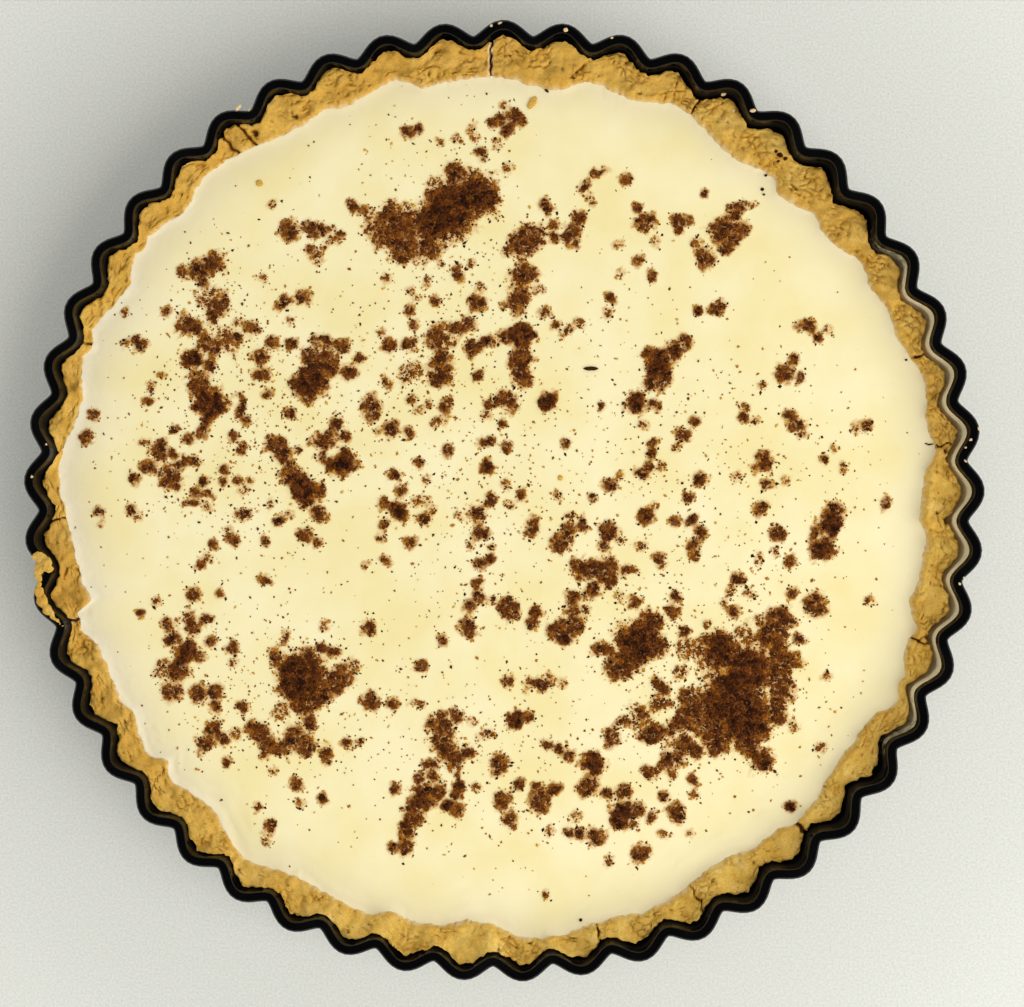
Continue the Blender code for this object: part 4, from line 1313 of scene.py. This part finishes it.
# Lumps are x, y, half length, half width and half height in mm, and turn in degrees.
RIM_SCRAPS = (
    (-134.9, -16.6, 2, 1.5, 0.7, 0), (-132.9, -18, 1.7, 1.5, 0.7, 30),
    (-134.9, -19.6, 1.9, 2.2, 0.8, 0), (-132.3, -19.9, 1.5, 1.5, 0.7, 0),
    (-135.2, -22, 1.2, 1.6, 0.6, 20), (-135, -24.7, 1.2, 0.8, 0.4, 90),
    (-134.8, -27, 1.9, 1.5, 0.6, 95), (-134, -29.4, 2.3, 1.8, 0.7, 100),
    (-132.9, -31.6, 2, 1.4, 0.6, 120), (-131.3, -33.3, 1.9, 1, 0.5, 130),
    (-129.8, -34.8, 1.6, 0.6, 0.4, 135), (-128.5, -36.1, 1.3, 0.45, 0.35, 135),
)
RIM_CRUMBS = (
    (-2, 138, 0.4, 0.4, 0.3, 0), (0.6, 138.8, 0.7, 0.3, 0.3, 20), (19.6, 136.5, 0.7, 0.6, 0.3, 0),
    (33, 134, 0.4, 0.3, 0.3, 0), (135.7, 17.5, 0.5, 0.4, 0.3, 40), (134.3, 15.3, 0.35, 0.3, 0.2, 0),
    (134.3, 11.4, 0.6, 0.25, 0.2, -40), (138, 20.7, 0.3, 0.5, 0.2, 0), (133.8, -22, 0.35, 0.25, 0.2, 0),
    (132.6, -23.8, 0.4, 0.4, 0.2, 0), (-137.2, 7.1, 0.4, 0.4, 0.2, 0), (-132.9, 16.6, 0.3, 0.3, 0.2, 0),
    (65.5, 118.5, 0.9, 0.6, 0.4, 20), (68.4, 113.8, 0.5, 0.5, 0.4, 0), (73.6, 112.6, 0.9, 0.5, 0.4, 10),
    (-73, 114.2, 0.7, 0.3, 0.3, 60), (-76.2, 115, 1.2, 0.5, 0.4, 50),
)
CUSTARD_FLAKES = (
    (-71, 94, 1.1, 1, 0.25, 0), (9.8, 117, 2.1, 1.1, 0.4, 60), (18, 6.7, 0.8, 0.8, 0.25, 0),
)
DARK_SPLINTERS = (
    (27, 38.8, 2.2, 0.6, 0.4, 0), (14, 120.4, 0.8, 0.4, 0.3, -40), (24, -123, 0.5, 0.5, 0.3, 0),
    (125.6, 16.4, 1, 0.25, 0.25, 10), (127.3, 16, 0.5, 0.3, 0.25, -30), (124.4, 16.6, 0.4, 0.2, 0.2, 0),
    (122, 42, 0.7, 0.4, 0.3, 30), (118.6, 41, 0.4, 0.3, 0.3, 0), (82, 100.5, 1, 0.7, 0.3, 0),
    (80.6, 101.6, 0.6, 0.5, 0.3, 0), (83.4, 99.4, 0.7, 0.5, 0.3, 40), (81.4, 98.9, 0.5, 0.4, 0.3, 0),
    (78, 95, 0.5, 0.4, 0.3, 0), (77, 91, 0.5, 0.5, 0.3, 0), (77.5, 89.5, 0.4, 0.3, 0.3, 0),
)


@dataclass
class StrayBits:
    """Scraps, crumbs and flakes that lie where they fell."""

    ground: tuple[bpy.types.Object, ...]
    drop_from: float = 60.0 * MM
    bead_top: float = 29.5 * MM
    grain: float = 0.18 * MM

    def ground_height(self, x: float, y: float) -> float:
        """Return the height of the highest surface under a place, the bead's past its edge."""
        hits = [item.ray_cast((x, y, self.drop_from), (0, 0, -1)) for item in self.ground]
        return max((place.z for found, place, _, _ in hits if found), default=self.bead_top)

    def build_group(self, name: str, lumps: tuple[tuple[float, ...], ...],
                    roughness: float) -> bpy.types.Object:
        """Build a group of rough lumps as one piece, each resting on what lies under it.

        Args:
            name: the piece's name.
            lumps: the lumps.
            roughness: how far their surface stands in and out.

        Returns:
            The piece.
        """
        parts = []
        for x, y, length, width, height, degrees in lumps:
            deselect_all()
            rest = self.ground_height(x * MM, y * MM) + 0.3 * height * MM
            bpy.ops.mesh.primitive_ico_sphere_add(subdivisions=4, radius=1,
                                                  location=(x * MM, y * MM, rest),
                                                  rotation=(0, 0, math.radians(degrees)))
            bpy.context.object.scale = (length * MM, width * MM, height * MM)
            bpy.ops.object.transform_apply(location=True, rotation=True, scale=True)
            parts.append(bpy.context.object)
        deselect_all()
        for part in parts:
            part.select_set(True)
        bpy.context.view_layer.objects.active = parts[0]
        bpy.ops.object.join()
        item = bpy.context.object
        item.name = item.data.name = name
        bpy.ops.object.origin_set(type="ORIGIN_CURSOR")
        points = coordinates(item)
        wander = np.stack([noise_at(points, 4 * roughness, seed)
                           + 0.5 * noise_at(points, 1.6 * roughness, seed)
                           for seed in (2.0, 12.0, 22.0)], axis=1)
        move_vertices(item, points + roughness * wander)
        item.data.remesh_voxel_size = self.grain if roughness > self.grain else self.grain / 2
        bpy.ops.object.voxel_remesh()
        return item

    def build(self, crust: bpy.types.Material, cinnamon: bpy.types.Material) -> None:
        """Build the pastry's scraps and crumbs, and the dark splinters of bark."""
        bpy.context.view_layer.update()
        for name, lumps, roughness, cream in (("rim_scraps", RIM_SCRAPS, 0.6 * MM, 0.0),
                                              ("rim_crumbs", RIM_CRUMBS, 0.15 * MM, 0.5),
                                              ("pastry_flakes", CUSTARD_FLAKES, 0.15 * MM, 0.0)):
            item = self.build_group(name, lumps, roughness)
            count = len(item.data.vertices)
            set_attribute(item, "painted_shade", np.zeros(count))
            set_attribute(item, "cream", np.full(count, cream))
            set_attribute(item, "toast_and_side_shade", np.full(count, 0.4))
            shade_smooth(item, 60)
            dress(item, Slot.PASTRY, crust)
        item = self.build_group("bark_splinters", DARK_SPLINTERS, 0.12 * MM)
        set_attribute(item, "tone", np.full(len(item.data.vertices), 0.16))
        shade_smooth(item, 60)
        dress(item, Slot.CUSTARD, cinnamon)


# ------------------------------
# The studio
# ------------------------------

@dataclass
class Studio:
    """The cloth that the tin stands on, the light and the camera."""

    distance: float = 480.0 * MM
    tilt: float = math.radians(2.46)
    aim_height: float = 30.0 * MM
    lens_mm: float = 58.1
    shift: tuple[float, float] = (0.0136, -0.0026)
    room_light: float = 3.3
    room: tuple[tuple[float, str], ...] = (
        (0.2, "#262626"), (0.27, "#F3F4F6"), (0.4, "#F3F4F6"), (0.48, "#1E1E1E"))

    def add_floor(self) -> None:
        """Lay the cloth."""
        deselect_all()
        bpy.ops.mesh.primitive_plane_add(size=3.0)
        floor = bpy.context.object
        floor.name = floor.data.name = "cloth_floor"
        floor.data.materials.append(PaleCloth().material())

    def add_lamp(self, name: str, place: tuple[float, float, float], size: float,
                 power: float) -> None:
        """Hang a square soft light that faces the tart and that gloss doesn't reflect.

        Args:
            name: the light's name.
            place: where it hangs.
            size: the length of its sides.
            power: its power in watts.
        """
        deselect_all()
        bpy.ops.object.light_add(type="AREA", location=place)
        lamp = bpy.context.object
        lamp.name = name
        lamp.data.shape = "SQUARE"
        lamp.data.size, lamp.data.energy = size, power
        lamp.visible_glossy = False
        lamp.rotation_euler = (-Vector(place)).to_track_quat("-Z", "Y").to_euler()

    def add_camera(self) -> None:
        """Hang the camera over the tart, a little to the right of its middle."""
        deselect_all()
        bpy.ops.object.camera_add()
        camera = bpy.context.object
        camera.name = "overhead_camera"
        camera.location = (self.distance * math.sin(self.tilt), 0,
                           self.aim_height + self.distance * math.cos(self.tilt))
        camera.rotation_euler = (0, self.tilt, 0)
        camera.data.lens, camera.data.sensor_width = self.lens_mm, 36.0
        camera.data.shift_x, camera.data.shift_y = self.shift
        bpy.context.scene.camera = camera

    def light_room(self) -> None:
        """Light the room round the tart: pale walls with a band of daylight, dim above."""
        world = bpy.context.scene.world or bpy.data.worlds.new("soft_room")
        bpy.context.scene.world = world
        world.use_nodes = True
        tree = world.node_tree
        direction = add_node(tree, "TexCoord", output="Generated")
        upward = add_node(tree, "SeparateXYZ", {0: direction}, "Z")
        colour = add_node(tree, "ValToRGB", {"Fac": upward}, stops=self.room)
        background = tree.nodes["Background"]
        tree.links.new(colour, background.inputs["Color"])
        background.inputs["Strength"].default_value = self.room_light

    def build(self) -> None:
        """Set up the floor, the lights, the room and the camera."""
        self.add_floor()
        self.add_lamp("window_light", (1.0, -0.6, 0.95), 1.3, 18.6)
        self.add_lamp("ceiling_fill", (0.0, 0.0, 1.5), 1.2, 3.9)
        self.add_camera()
        self.light_room()
        bpy.context.scene.view_settings.view_transform = "Standard"


def main() -> None:
    """Build every sub-assembly in order and report each piece."""
    logging.basicConfig(level=logging.INFO, format="%(message)s")
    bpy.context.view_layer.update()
    tin = TartTin()
    level = CustardLevel()
    case = PastryCase(tin, level)
    layout = CinnamonLayout()
    filling = CustardFilling(case, level, layout)
    crust, cinnamon = BakedShortcrust().material(), GroundCinnamon().material()
    ground = (tin.build(NonstickCoating().material()), case.build(crust),
              filling.build(SetCustard().material()))
    CinnamonDusting(layout, filling).build(cinnamon)
    StrayBits(ground).build(crust, cinnamon)
    Studio().build()


if __name__ == "__main__":
    main()
